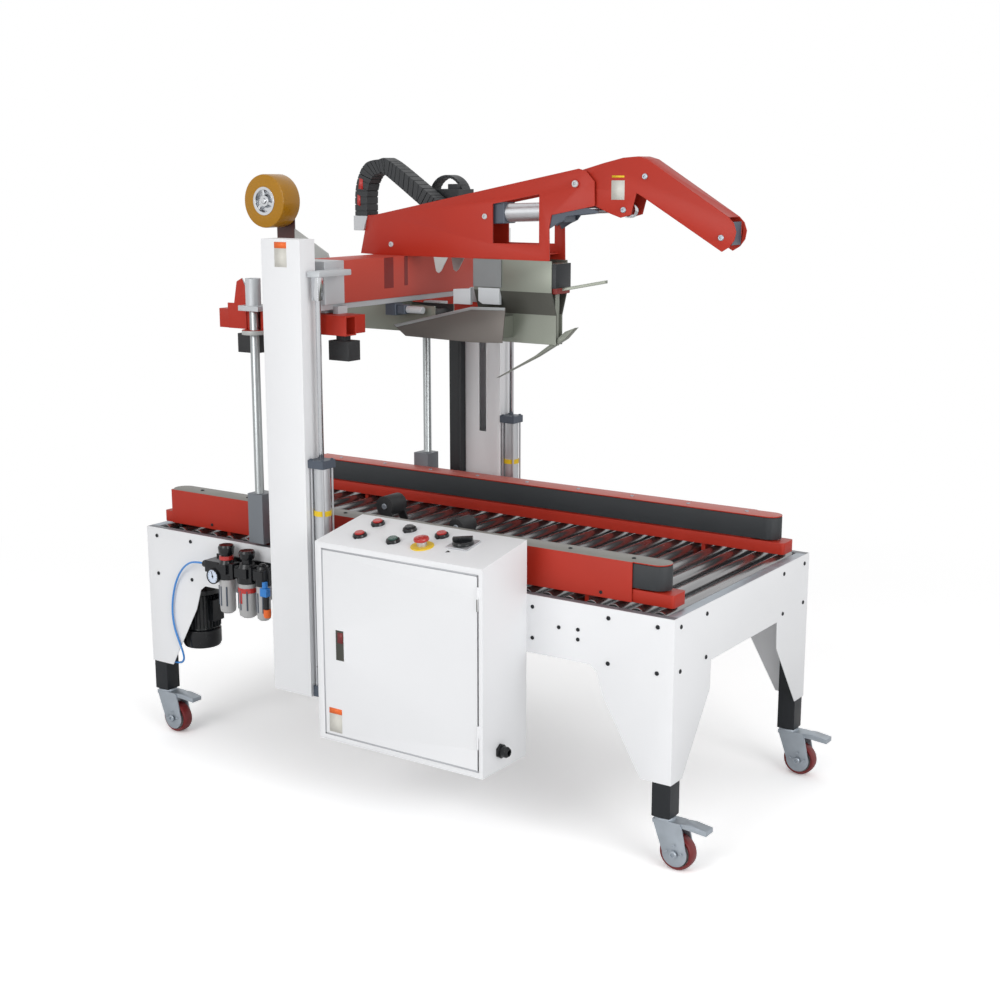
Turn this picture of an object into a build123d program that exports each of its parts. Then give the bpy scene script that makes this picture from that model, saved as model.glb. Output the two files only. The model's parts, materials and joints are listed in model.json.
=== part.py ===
from build123d import *
import math
import os

# Case sealer with side belts, a height-adjustable head and a swinging rear-flap folder.
# Frame: +X towards the infeed end, +Y across the machine to its far side, +Z up,
# origin on the floor under the middle of the table frame. Millimetres.

# Table frame
frame_length = 1750
frame_width = 790
table_height = 631
sheet = 3
apron_depth = 150
leg_top_length = 215
leg_top_width = 200
arch_drop = 75
arch_corner = 14
knee_run = 24
leg_foot_z = 218
leg_foot_length = 84
leg_foot_width = 60
post_size = 50
post_wall = 3
rail_depth = 100
rail_thickness = 20
cross_bar_height = 30
slide_rod_radius = 11
slide_rod_drop = 75
end_strip_width = 26
end_strip_thickness = 6

# Casters
wheel_radius = 45
wheel_width = 32
caster_height = 130
caster_trail = 38
caster_plate_thickness = 6
swivel_radius = 27
fork_leg = 4
fork_gap = 2
fork_cheek_radius = 33
axle_radius = 6
pedal_length = 82
pedal_width = 36
running_gap = 0.3
pin_gap = 0.1

# Roller bed
roller_radius = 19
roller_count = 27
roller_end_margin = 53
roller_rise = 5
roller_shaft_radius = 6
roller_end_gap = 4

# Lower tape head in the middle of the bed
head_slot_low_x = -480
head_slot_high_x = 110
head_slot_half_width = 62
head_plate = 4
head_slot_depth = 170
head_slot_bar = 24
arm_pivot_drop = 86
front_arm_pivot_inset = 65
front_arm_run = 57
front_arm_rise = 123
front_arm_roller = 25
rear_arm_pivot_inset = 300
rear_arm_run = 78
rear_arm_rise = 153
rear_arm_roller = 30
arm_half_width = 34
arm_plate = 5
arm_link_half = 13

# Masts and lift cylinders
mast_x = -238
mast_width = 132
mast_depth = 58
mast_standoff = 32
mast_drop = 367
mast_rise = 854
mast_wall = 3
mast_slot_width = 26
mast_slot_low = 229
mast_slot_high = 831
duct_width = 44
duct_depth = 50
duct_top = 670
lift_tube_radius = 22
lift_tube_wall = 4
lift_tube_top = 262
lift_cap_size = 52
lift_foot_height = 30
lift_cap_height = 22
lift_rod_radius = 7
lift_rod_overlap = 43
lift_clevis_height = 60
lift_clevis_size = 22
lift_lug_half = 20
lug_thickness = 15

# Control cabinet
cabinet_low_x = -56
cabinet_width = 519
cabinet_depth = 194
cabinet_drop = 424
cabinet_front_rise = 104
cabinet_back_rise = 138
cabinet_wall = 3
door_left_margin = 20
door_right_margin = 11
door_low_margin = 14
door_high_margin = 15
door_gap = 5
door_thickness = 15
hinge_radius = 2.2
hinge_proud = 1.5
hinge_length = 30
hinge_margin = 60
lock_inset = 40
lock_width = 26
lock_height = 80
gland_inset = 74
gland_rise = 51
gland_radius = 14
gland_flange = 8
gland_length = 28

# Air service unit and its hose
air_unit_x = (-520, -442, -384)
air_bowl_radius = (24, 28, 21)
air_unit_standoff = 37
air_unit_half_depth = 20
air_unit_back = 6
air_unit_drop = 93
air_unit_height = 50
air_bowl_drop = 105
knob_radius = 24
gauge_radius = 22
inlet_end_x = -612
hose_radius = 3
hose_fitting_length = 22

# Side belt units
belt_inset = 79
pulley_inset = 84.6
belt_outer_radius = 32
belt_thickness = 3
base_rise = 11
base_height = 32
belt_gap = 4
belt_height = 60
base_overhang = 24
base_corner = 9
core_half_width = 24
cover_thickness = 3
cover_gap = 1.5
cover_outfeed_overhang = 20
cover_infeed_inset = 55
post_in_gap = 12
slide_block_length = 50
slide_block_width = 54
slide_block_height = 38
motor_inset = 131
motor_radius = 57
motor_drop = 360
gearbox_drop = 174
gearbox_height = 103
gearbox_half_width = 33
gearbox_reach = (20, 40)
column_x = -425
column_inset = 5
column_radius = 12.5
column_rise = 737
bracket_width = 54
bracket_rise = 151

# Lifting head
beam_low_inset = 57
beam_width = 120
beam_end_inset = 89
beam_rise = 681
beam_height = 113
beam_wall = 5
bracket_end_inset = 9
carriage_width = 96
carriage_gap = 6
carriage_drop = 20
head_rail_width = 24
head_rail_depth = 16
head_rail_inset = 25
press_clearance = 6

# Folding arm on the beam, its places taken from the top of the beam
arm_plate_y = 40
arm_nose_y = 10
arm_sheet = 3
arm_bend_x = -270
arm_outline = [(-358, 0), (-320, 108), (-282, 110), (79, 177), (385, 237), (407, 231), (432, 205), (434, 144),
               (304, 119), (297, 88), (299, 0)]
arm_window = [(119, 145), (119, 42), (266, 42), (266, 172)]
arm_cross_x = -140
arm_shelf_x = (40, 280)
arm_shelf_rise = 15
pin_proud = 4

# Swinging rear-flap folder, its places taken from the top of the beam
kicker_pivot_place = (378, 199)
kicker_plate_y = 32
kicker_ear_place = (514, 135)
kicker_outline = [(350, 185), (352, 215), (380, 231), (454, 251), (511, 264), (553, 267), (579, 260),
                  (806, 122), (820, 108), (827, 88), (823, 67), (810, 50), (790, 38), (567, 168),
                  (550, 177), (535, 123), (505, 115), (477, 124), (429, 144)]
kicker_skin = [(511, 264), (553, 267), (579, 260), (806, 122), (803, 119), (578, 256), (553, 263), (511, 260)]
bumper_x = 800
bumper_thickness = 12
bumper_z = (54, 110)
kicker_pin_radius = 10
kicker_sleeve_wall = 8
ear_pin_radius = 6
kick_rear_place = (73, 119)
kick_tube_radius = 25
kick_tube_length = 165
kick_cap_half = 28
kick_eye_length = 40
kick_rear_cap = 40
kick_front_cap = 24
kick_rod_radius = 8
kick_rod_start = 225
kick_eye_inner = 15
kick_eye_outer = 21
kick_eye_half = 9

# Flap folding plates under the arm
fold_bend_high_drop = 83
fold_bend_low_drop = 144
fold_drop = 222
fold_inner_y = 16
fold_low_x = 57
fold_high_x = 306
fold_tie_low_x = 276
fold_tie_high_x = 318
fold_tie_z = (12, 76)
plough_y = 82
plough_outline = [(-188, -189), (78, -127), (188, -124), (178, -218), (79, -222), (-146, -218)]
plough_web_x = 168
blade_half_width = 10
blade_outline = [(109, -325), (240, -259), (330, -205), (361, -173), (330, -185), (300, -210), (236, -255)]
pointer_outline = [(286, -77), (449, -46), (449, -54), (286, -85)]
stem_width = 14

# Tape roll on its post over the upper tape head
tape_x = -700
tape_rise = 143
tape_radius = 78
tape_core_radius = 38
tape_width = 74
tape_pin_radius = 8
tape_post_reach = (22, 47)
tape_post_top = 22

# Upper tape head
upper_top_drop = 22
upper_height = 74
upper_half_width = 46
upper_low_x = -620
upper_high_x = -70
upper_shoulder_x = (-490, -330)
upper_shoulder_drop = 25
upper_roller_radius = 22
upper_roller_inset = (40, 30)
upper_block_x = -285

# Press units beside the head
press_low_x = -560
press_high_x = -110
press_inner_inset = 55
press_width = 43
press_top_drop = 26
press_height = 52
press_wall = 4
sleeve_radius = 21
sleeve_height = 73
seat_height = 14
seat_half = 36
flange_radius = 34
flange_height = 12
press_roller_height = 52
press_roller_drop = 66
press_roller_x = (-465, -140)
press_shoe_width = 38

# Cable chains over the arm, their places taken from the top of the beam
chain_half_width = 25
chain_outline = [(-364, 106), (-362, 175), (-347, 223), (-322, 255), (-277, 266), (-236, 260), (-77, 153),
                 (-101, 116), (-255, 220), (-285, 223), (-304, 207), (-318, 175), (-320, 106)]
chain_tab = [(-370, 65), (-335.1, 65), (-320.7, 106), (-370, 106)]
chain_loop_place = (-116, 161)
chain_loop_radius = (59, 51)
chain_loop_width = (35, 75)
chain_box_x = (-150, -50)
chain_box_z = (129, 181)


def block(x0, x1, y0, y1, z0, z1):
    """A box between two corners."""
    centre = Pos((x0 + x1) / 2, (y0 + y1) / 2, (z0 + z1) / 2)
    return centre * Box(abs(x1 - x0), abs(y1 - y0), abs(z1 - z0))


def rod_z(x, y, z0, z1, radius):
    """An upright cylinder."""
    return Pos(x, y, (z0 + z1) / 2) * Cylinder(radius, z1 - z0)


def rod_y(x, z, y0, y1, radius):
    """A cylinder across the machine."""
    return Pos(x, (y0 + y1) / 2, z) * Rot(90, 0, 0) * Cylinder(radius, y1 - y0)


def rod_x(y, z, x0, x1, radius):
    """A cylinder along the machine."""
    return Pos((x0 + x1) / 2, y, z) * Rot(0, 90, 0) * Cylinder(radius, x1 - x0)


def plate_xz(points, y0, y1):
    """An upright plate along the machine, from its outline in X and Z."""
    face = Plane.XZ.offset(-y1) * make_face(Polyline(*points, close=True))
    return extrude(face, amount=y1 - y0)


def plate_yz(points, x0, x1):
    """An upright plate across the machine, from its outline in Y and Z."""
    face = Plane.YZ.offset(x0) * make_face(Polyline(*points, close=True))
    return extrude(face, amount=x1 - x0)


def prism(points, z0, z1):
    """An upright prism from its outline in X and Y."""
    return extrude(Plane.XY.offset(z0) * make_face(Polyline(*points, close=True)), amount=z1 - z0)


def stadium(half_length, radius, centre_y, z0, z1):
    """An upright prism with round ends, along the machine."""
    sides = Rectangle(2 * half_length, 2 * radius)
    ends = Pos(half_length, 0) * Circle(radius) + Pos(-half_length, 0) * Circle(radius)
    return extrude(Plane.XY.offset(z0) * Pos(0, centre_y) * (sides + ends), amount=z1 - z0)


def on_beam(points):
    """Outline points taken from the top of the beam, as places over the floor."""
    return [(x, beam_top_z + z) for x, z in points]


def far(part):
    """The same piece on the far side."""
    return mirror(part, about=Plane.XZ)


def save(name, part):
    """One named piece as a STEP file."""
    export_step(part, os.path.join("parts", name + ".step"))


# Places worked out from the table
half_length = frame_length / 2
half_width = frame_width / 2
arch_half_length = half_length - leg_top_length
arch_half_width = half_width - leg_top_width
apron_z = table_height - apron_depth
inner_x = half_length - sheet
inner_y = half_width - sheet
post_x = inner_x - post_size / 2
post_y = inner_y - post_size / 2
rail_low_z = table_height - rail_depth
rail_inner_y = inner_y - rail_thickness
roller_z = table_height + roller_rise - roller_radius
roller_end_x = half_length - roller_end_margin
roller_pitch = 2 * roller_end_x / (roller_count - 1)
roller_reach = rail_inner_y - roller_end_gap
slide_x = roller_end_x - 3.5 * roller_pitch
slide_rod_z = table_height - slide_rod_drop
arm_pivot_z = table_height - arm_pivot_drop
front_arm_pivot = (head_slot_high_x - front_arm_pivot_inset, arm_pivot_z)
front_arm_tip = (front_arm_pivot[0] - front_arm_run, arm_pivot_z + front_arm_rise)
rear_arm_pivot = (head_slot_high_x - rear_arm_pivot_inset, arm_pivot_z)
rear_arm_tip = (rear_arm_pivot[0] - rear_arm_run, arm_pivot_z + rear_arm_rise)

# Places of the masts and cylinders
mast_low_x = mast_x - mast_width / 2
mast_high_x = mast_x + mast_width / 2
mast_back_y = half_width + mast_standoff
mast_low_z = table_height - mast_drop
mast_top_z = table_height + mast_rise
lift_cylinder_x = mast_high_x + lift_cap_size / 2 + running_gap
lift_cylinder_y = mast_back_y + lift_cap_size / 2 - 3
lift_tube_low_z = mast_low_z + lift_foot_height
lift_tube_top_z = table_height + lift_tube_top

# Places of the cabinet
cabinet_high_x = cabinet_low_x + cabinet_width
cabinet_front_y = -half_width - cabinet_depth
cabinet_low_z = table_height - cabinet_drop
cabinet_front_z = table_height + cabinet_front_rise
cabinet_back_z = table_height + cabinet_back_rise
door_low_x = cabinet_low_x + door_left_margin
door_high_x = cabinet_high_x - door_right_margin
door_low_z = cabinet_low_z + door_low_margin
door_high_z = cabinet_front_z - door_high_margin

# Places of the belt units
belt_axis_y = half_width - belt_inset
pulley_x = half_length - pulley_inset
base_low_z = table_height + base_rise
base_top_z = base_low_z + base_height
belt_low_z = base_top_z + belt_gap
belt_top_z = belt_low_z + belt_height
slide_block_low_z = slide_rod_z - slide_block_height / 2
slide_block_top_z = slide_rod_z + slide_block_height / 2
motor_x = motor_inset - half_length
motor_low_z = table_height - motor_drop
gearbox_low_z = table_height - gearbox_drop
gearbox_top_z = gearbox_low_z + gearbox_height
column_y = half_width - column_inset
column_top_z = table_height + column_rise
bracket_top_z = table_height + bracket_rise

# Places of the head
beam_low_x = mast_x - beam_low_inset
beam_high_x = beam_low_x + beam_width
beam_half_length = half_width - beam_end_inset
beam_low_z = table_height + beam_rise
beam_top_z = beam_low_z + beam_height
bracket_end_y = half_width - bracket_end_inset
lug_low_z = beam_top_z - 35
head_rail_x = beam_high_x - head_rail_inset
kicker_pivot = on_beam([kicker_pivot_place])[0]
kicker_ear_pin = on_beam([kicker_ear_place])[0]
kick_rear_pin = on_beam([kick_rear_place])[0]
tape_z = beam_top_z + tape_rise
upper_top_z = beam_low_z - upper_top_drop
upper_low_z = upper_top_z - upper_height
press_inner_y = half_width - press_inner_inset
press_outer_y = press_inner_y + press_width
press_top_z = beam_low_z - press_top_drop
press_low_z = press_top_z - press_height
sleeve_low_z = press_top_z + seat_height
sleeve_top_z = sleeve_low_z + sleeve_height
press_roller_low_z = press_low_z - press_roller_drop


def side_panel():
    """Near side sheet with its two tapered legs."""
    foot = half_length - leg_foot_length
    knee_x = arch_half_length + knee_run
    right = [(half_length, leg_foot_z), (foot, leg_foot_z), (knee_x, apron_z - arch_drop),
             (arch_half_length + 4, apron_z - arch_corner), (arch_half_length - arch_corner, apron_z)]
    left = [(-x, z) for x, z in reversed(right)]
    top = [(-half_length, table_height), (half_length, table_height)]
    return plate_xz(right + left + top, -half_width, -inner_y)


def end_panel():
    """Infeed end sheet with its two tapered legs."""
    foot = half_width - leg_foot_width
    right = [(inner_y, leg_foot_z), (foot, leg_foot_z), (arch_half_width + 3, apron_z - arch_drop),
             (arch_half_width, apron_z)]
    left = [(-y, z) for y, z in reversed(right)]
    top = [(-inner_y, table_height), (inner_y, table_height)]
    return plate_yz(right + left + top, inner_x, half_length)


def leg_post():
    """Square tube with a caster plate under it, centred on its own axis."""
    low = caster_height + caster_plate_thickness
    half = post_size / 2
    hole = half - post_wall
    tube = block(-half, half, -half, half, low, rail_low_z)
    tube -= block(-hole, hole, -hole, hole, low - 1, rail_low_z + 1)
    return tube + block(-half, half, -half, half, caster_height, low)


def bed_frame():
    """Two roller rails, two cross members and the rods that the belt units slide on."""
    rail = block(-inner_x, inner_x, -inner_y, -rail_inner_y, rail_low_z, table_height)
    frame = rail + far(rail)
    for x in (head_slot_low_x, head_slot_high_x):
        frame += block(x - head_slot_bar, x, -rail_inner_y, rail_inner_y, rail_low_z,
                       rail_low_z + cross_bar_height)
    for x in (-slide_x, slide_x):
        frame += rod_y(x, slide_rod_z, -rail_inner_y, rail_inner_y, slide_rod_radius)
    return frame


def bed_rollers():
    """Bed rollers, split in two where the lower tape head stands between them."""
    rollers = []
    for i in range(roller_count):
        x = -roller_end_x + i * roller_pitch
        spans = [(-roller_reach, roller_reach)]
        if head_slot_low_x - roller_radius < x < head_slot_high_x + roller_radius:
            gap = head_slot_half_width + roller_end_gap
            spans = [(-roller_reach, -gap), (gap, roller_reach)]
        for low, high in spans:
            roller = rod_y(x, roller_z, low, high, roller_radius)
            shaft_low = low - roller_end_gap
            shaft_high = high + roller_end_gap
            rollers.append(roller + rod_y(x, roller_z, shaft_low, shaft_high, roller_shaft_radius))
    return Compound(children=rollers)


def bed_plates():
    """Thin strips that close the bed at both ends."""
    low = table_height - end_strip_thickness
    strip = block(inner_x - end_strip_width, inner_x, -rail_inner_y, rail_inner_y, low, table_height)
    return Compound(children=[strip, mirror(strip, about=Plane.YZ)])


def lower_tape_head():
    """Two upright plates between the split rollers, tied by bars at their ends."""
    low_z = table_height - head_slot_depth
    top_z = table_height - 2
    outer = head_slot_half_width
    plate_high_x = head_slot_high_x - head_slot_bar
    plate = block(head_slot_low_x, plate_high_x, -outer, -outer + head_plate, low_z, top_z)
    head = plate + far(plate)
    for x in (head_slot_low_x, plate_high_x - head_slot_bar):
        head += block(x, x + head_slot_bar, -outer, outer, low_z, low_z + cross_bar_height)
    for x, z in (front_arm_pivot, rear_arm_pivot):
        head += rod_y(x, z, -outer, outer, axle_radius)
    return head


def tape_arm(pivot, tip, tip_radius):
    """A swinging arm with a black roller, on a pin across the tape head."""
    dx = tip[0] - pivot[0]
    dz = tip[1] - pivot[1]
    reach = math.hypot(dx, dz)
    half = arm_link_half
    link = Rectangle(reach, 2 * half) + Pos(reach / 2, 0) * Circle(half) + Pos(-reach / 2, 0) * Circle(half)
    middle = Pos(pivot[0] + dx / 2, pivot[1] + dz / 2) * Rot(0, 0, math.degrees(math.atan2(dz, dx)))
    arm = rod_y(tip[0], tip[1], -arm_half_width, arm_half_width, tip_radius)
    arm += rod_y(pivot[0], pivot[1], -arm_half_width, arm_half_width, half)
    for y in (-arm_half_width, arm_half_width - arm_plate):
        arm += extrude(Plane.XZ.offset(-y - arm_plate) * middle * link, amount=arm_plate)
    return arm - rod_y(pivot[0], pivot[1], -arm_half_width - 1, arm_half_width + 1, axle_radius + pin_gap)


def mast():
    """Near hollow mast with a slot on its inner face, on two pads at the side sheet."""
    back = -mast_back_y
    front = back - mast_depth
    wall = mast_wall
    body = block(mast_low_x, mast_high_x, front, back, mast_low_z, mast_top_z)
    body -= block(mast_low_x + wall, mast_high_x - wall, front + wall, back - wall, mast_low_z - 1,
                  mast_top_z - wall)
    half = mast_slot_width / 2
    body -= block(mast_x - half, mast_x + half, back - wall - 1, back + 1, table_height + mast_slot_low,
                  table_height + mast_slot_high)
    for z in (apron_z + 10, table_height - 50):
        body += block(mast_low_x + 10, mast_high_x - 10, back - 1, -half_width, z, z + 40)
    return body


def cable_duct():
    """Black duct that stands on the far mast's outfeed side."""
    high_y = mast_back_y + duct_depth / 2
    return block(mast_low_x - duct_width, mast_low_x, high_y - duct_depth, high_y, table_height,
                 table_height + duct_top)


def lift_cylinder():
    """Near lift cylinder tube with its two end caps."""
    x = lift_cylinder_x
    y = -lift_cylinder_y
    half = lift_cap_size / 2
    cap_top = lift_tube_top_z + lift_cap_height
    tube = rod_z(x, y, lift_tube_low_z, lift_tube_top_z, lift_tube_radius)
    foot = block(x - half, x + half, y - half, y + half, mast_low_z, lift_tube_low_z)
    cap = block(x - half, x + half, y - half, y + half, lift_tube_top_z, cap_top)
    bore = rod_z(x, y, lift_tube_low_z + 5, lift_tube_top_z - 5, lift_tube_radius - lift_tube_wall)
    hole = rod_z(x, y, lift_tube_top_z - 6, cap_top + 1, lift_rod_radius + running_gap)
    return tube + foot + cap - bore - hole


def cabinet_outline(inset):
    """Cabinet side outline in Y and Z, moved inwards by the wall."""
    front = cabinet_front_y + inset
    back = -half_width - inset
    return [(front, cabinet_low_z + inset), (front, cabinet_front_z - inset), (back, cabinet_back_z - inset),
            (back, cabinet_low_z + inset)]


def cabinet_shell():
    """Hollow cabinet with a sloping top and a door opening in its front."""
    wall = cabinet_wall
    front = cabinet_front_y
    shell = plate_yz(cabinet_outline(0), cabinet_low_x, cabinet_high_x)
    shell -= plate_yz(cabinet_outline(wall), cabinet_low_x + wall, cabinet_high_x - wall)
    shell -= block(door_low_x, door_high_x, front - 1, front + wall + 1, door_low_z, door_high_z)
    stop_back = front + door_thickness + 4
    shell += block(door_low_x - 12, door_low_x + 8, stop_back - wall, stop_back, door_low_z, door_high_z)
    shell += block(door_low_x - 14, door_low_x - 11, front + wall, stop_back, door_low_z, door_high_z)
    for z in hinge_heights():
        shell += hinge_knuckle(z + hinge_length + running_gap, True)
    return shell


def hinge_heights():
    """Lower ends of the door's two hinges."""
    return (door_low_z + hinge_margin, door_high_z - hinge_margin - hinge_length)


def hinge_knuckle(low_z, on_cabinet):
    """One barrel of the door hinge with its leaf."""
    x = door_high_x - door_gap / 2
    y = cabinet_front_y - hinge_proud
    top_z = low_z + hinge_length
    knuckle = rod_z(x, y, low_z, top_z, hinge_radius)
    if on_cabinet:
        return knuckle + block(x, door_high_x + 4, y, cabinet_front_y, low_z, top_z)
    return knuckle + block(x - door_gap / 2 - 4, x, y, cabinet_front_y + 1, low_z, top_z)


def cabinet_door():
    """Door set flush in the cabinet front, with a lock plate."""
    front = cabinet_front_y
    wall = cabinet_wall
    left = door_low_x + door_gap
    right = door_high_x - door_gap
    low = door_low_z + door_gap
    high = door_high_z - door_gap
    back = front + door_thickness
    door = block(left, right, front, back, low, high)
    door -= block(left + wall, right - wall, front + wall, back + 1, low + wall, high - wall)
    for z in hinge_heights():
        door += hinge_knuckle(z, False)
    lock_z = (low + high - lock_height) / 2
    return door + block(left + lock_inset, left + lock_inset + lock_width, front - 3, front, lock_z,
                        lock_z + lock_height)


def panel_point(from_left, from_front):
    """A place on the sloping top of the cabinet."""
    slope = (cabinet_back_z - cabinet_front_z) / cabinet_depth
    place = Pos(cabinet_low_x + from_left, cabinet_front_y + from_front, cabinet_front_z + slope * from_front)
    return place * Rot(math.degrees(math.atan(slope)), 0, 0)


def panel_controls():
    """Push buttons, emergency stop and main switch, standing on the sloping top."""
    controls = []
    for from_left, from_front in ((88, 149), (94, 67), (195, 144), (201, 67), (300, 139)):
        controls.append(panel_point(from_left, from_front) * Pos(0, 0, 6) * Cylinder(15, 12))
    stop = Pos(0, 0, 1.5) * Cylinder(30, 3) + Pos(0, 0, 8) * Cylinder(13, 16)
    stop += Pos(0, 0, 20) * Cylinder(20, 12)
    controls.append(panel_point(292, 67) * stop)
    switch = Pos(0, 0, 2) * Box(64, 64, 4) + Pos(0, 0, 12) * Cylinder(24, 20)
    controls.append(panel_point(386, 111) * switch)
    return Compound(children=controls)


def cable_gland():
    """Cable inlet on the cabinet's infeed side."""
    y = cabinet_front_y + gland_inset
    z = cabinet_low_z + gland_rise
    flange = rod_x(y, z, cabinet_high_x, cabinet_high_x + gland_flange, gland_radius + 5)
    return flange + rod_x(y, z, cabinet_high_x, cabinet_high_x + gland_length, gland_radius)


def air_service_unit():
    """Filter, regulator and lubricator on a plate at the side panel, with a gauge and an inlet."""
    low = table_height - air_unit_drop
    high = low + air_unit_height
    y = -half_width - air_unit_standoff
    back = -half_width - air_unit_back
    left = air_unit_x[0] - 70
    right = air_unit_x[-1] + air_bowl_radius[-1]
    unit = block(left, right, back, -half_width, low - 10, high)
    unit += block(left, right, y - air_unit_half_depth, back, low + 8, high - 8)
    for x, radius in zip(air_unit_x, air_bowl_radius):
        unit += rod_z(x, y, low, high, radius)
        unit += rod_z(x, y, low - air_bowl_drop, low, radius)
    for x in air_unit_x[:2]:
        unit += rod_z(x, y, high, high + 14, 15)
        unit += rod_z(x, y, high + 14, high + 42, knob_radius)
    unit += rod_x(y, low + 25, inlet_end_x, left, 10)
    gauge_front = y - air_unit_half_depth - 12
    return unit + rod_y(left + 42, low, gauge_front, y - air_unit_half_depth, gauge_radius)


# The hose's route, from the air unit's inlet round the leg's slanting edge to the post behind it
hose_route = [(-612, -432, 563), (-642, -432, 563), (-682, -422, 551), (-722, -411, 524), (-754, -404, 483),
              (-772, -402, 434), (-778, -402, 384), (-771, -402, 336), (-756, -400, 296), (-745, -396, 262),
              (-751, -388, 237), (-773, -382, 222), (-800, -382, 222)]


def air_hose():
    """Air hose as straight runs joined by tangent arcs."""
    points = [Vector(*place) for place in hose_route]
    radii = []
    for before, corner, after in zip(points, points[1:], points[2:]):
        shorter = min((corner - before).length, (after - corner).length)
        half_turn = math.radians((corner - before).get_angle(after - corner)) / 2
        radii.append(0.45 * shorter / math.tan(half_turn))
    print("hose radii", [round(radius) for radius in radii])
    path = FilletPolyline(*points, radius=radii)
    tube = sweep(Plane(path @ 0, z_dir=path % 0) * Circle(hose_radius), path=path)
    print("hose length", round(path.length, 1), "volume", round(tube.volume, 1), "expected",
          round(math.pi * hose_radius ** 2 * path.length, 1))
    return tube


def hose_fitting():
    """Nipple on the near outfeed post that the hose ends in."""
    y, z = hose_route[-1][1:]
    low_x = post_size / 2 - post_x
    return rod_x(y, z, low_x, low_x + hose_fitting_length, 2 * hose_radius)


def belt_base():
    """Red base channel of the near belt unit, its core and what carries it on the slide rods."""
    y = -belt_axis_y
    core_half = pulley_x - belt_outer_radius - 10
    base_half = pulley_x + belt_outer_radius + base_overhang
    outline = RectangleRounded(2 * base_half, 2 * belt_outer_radius, base_corner)
    base = extrude(Plane.XY.offset(base_low_z) * Pos(0, y) * outline, amount=base_height)
    base += block(-core_half, core_half, y - core_half_width, y + core_half_width, base_top_z, belt_top_z)
    for side in (-1, 1):
        x = side * slide_x
        neck = post_in_gap / 2
        half = slide_block_length / 2
        base += block(x - neck, x + neck, y - 20, y + 20, slide_block_top_z, base_low_z)
        slide = block(x - half, x + half, y - slide_block_width / 2, y + slide_block_width / 2,
                      slide_block_low_z, slide_block_top_z)
        base += slide - rod_y(x, slide_rod_z, y - slide_block_width, y + slide_block_width,
                              slide_rod_radius + running_gap)
        base += rod_z(side * pulley_x, y, base_top_z, belt_top_z + 1, axle_radius)
    return base


def belt_loop():
    """Near side belt as one fixed loop."""
    y = -belt_axis_y
    outer = stadium(pulley_x, belt_outer_radius, y, belt_low_z, belt_top_z)
    return outer - stadium(pulley_x, belt_outer_radius - belt_thickness, y, belt_low_z - 1, belt_top_z + 1)


def belt_pulleys():
    """The two belt pulleys of the near unit."""
    radius = belt_outer_radius - belt_thickness - running_gap
    pulleys = []
    for x in (-pulley_x, pulley_x):
        pulley = rod_z(x, -belt_axis_y, belt_low_z, belt_top_z - 1, radius)
        pulleys.append(pulley - rod_z(x, -belt_axis_y, belt_low_z - 1, belt_top_z, axle_radius + pin_gap))
    return Compound(children=pulleys)


def belt_cover():
    """Top cover and outer side panel of the near belt unit."""
    outer = -belt_axis_y - belt_outer_radius - cover_gap
    low_z = belt_top_z + 1
    high_z = low_z + cover_thickness
    low_x = -pulley_x - cover_outfeed_overhang
    high_x = pulley_x - cover_infeed_inset
    cover = stadium(pulley_x, belt_outer_radius, -belt_axis_y, low_z, high_z)
    cover += block(low_x, high_x, outer, outer + 10, low_z, high_z)
    return cover + block(low_x, high_x, outer - cover_thickness, outer, base_low_z, high_z)


def belt_motor():
    """Gear motor hung under the outfeed end of the near belt unit."""
    y = -belt_axis_y
    half = gearbox_half_width
    motor = rod_z(motor_x, y, motor_low_z, gearbox_low_z, motor_radius)
    low_x = -pulley_x - gearbox_reach[0]
    motor += block(low_x, motor_x + gearbox_reach[1], y - half, y + half, gearbox_low_z, gearbox_top_z)
    motor += block(-pulley_x - post_in_gap / 2, -pulley_x + post_in_gap / 2, y - core_half_width,
                   y + core_half_width, gearbox_top_z, base_low_z)
    return motor


def belt_column():
    """Guide column of the near belt unit in its clamp bracket."""
    outer = -belt_axis_y - belt_outer_radius - cover_gap - cover_thickness
    half = bracket_width / 2
    front = -column_y - column_radius - 8
    bracket = block(column_x - half, column_x + half, front, outer - running_gap, base_low_z, bracket_top_z)
    return bracket + rod_z(column_x, -column_y, bracket_top_z, column_top_z, column_radius)


def crossbeam():
    """Hollow beam across the machine."""
    beam = block(beam_low_x, beam_high_x, -beam_half_length, beam_half_length, beam_low_z, beam_top_z)
    return beam - block(beam_low_x + beam_wall, beam_high_x - beam_wall, -beam_half_length - 1,
                        beam_half_length + 1, beam_low_z + beam_wall, beam_top_z - beam_wall)


def beam_ends():
    """Cast end brackets with their mast carriages and rod lugs, tied by the rail under the beam."""
    neck = mast_slot_width / 2 - carriage_gap
    carriage_y = -mast_back_y - mast_depth / 2
    half_depth = mast_depth / 2 - mast_wall - carriage_gap
    lug_high_x = lift_cylinder_x + lift_lug_half
    lug_top_z = lug_low_z + lug_thickness
    end = block(beam_low_x, beam_high_x, -bracket_end_y, -beam_half_length, beam_low_z, beam_top_z)
    end += block(mast_x - neck, mast_x + neck, carriage_y, -bracket_end_y, beam_low_z, beam_top_z)
    end += block(mast_x - carriage_width / 2, mast_x + carriage_width / 2, carriage_y - half_depth,
                 carriage_y + half_depth, beam_low_z - carriage_drop, beam_top_z)
    end += block(beam_high_x, lug_high_x, -bracket_end_y, -bracket_end_y + 50, lug_low_z, lug_top_z)
    end += block(lift_cylinder_x - lift_lug_half, lug_high_x, -lift_cylinder_y - 16, -bracket_end_y + 10,
                 lug_low_z, lug_top_z)
    half_rail = head_rail_width / 2
    rail = block(head_rail_x - half_rail, head_rail_x + half_rail, -bracket_end_y, bracket_end_y,
                 beam_low_z - head_rail_depth, beam_low_z)
    return end + far(end) + rail


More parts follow.
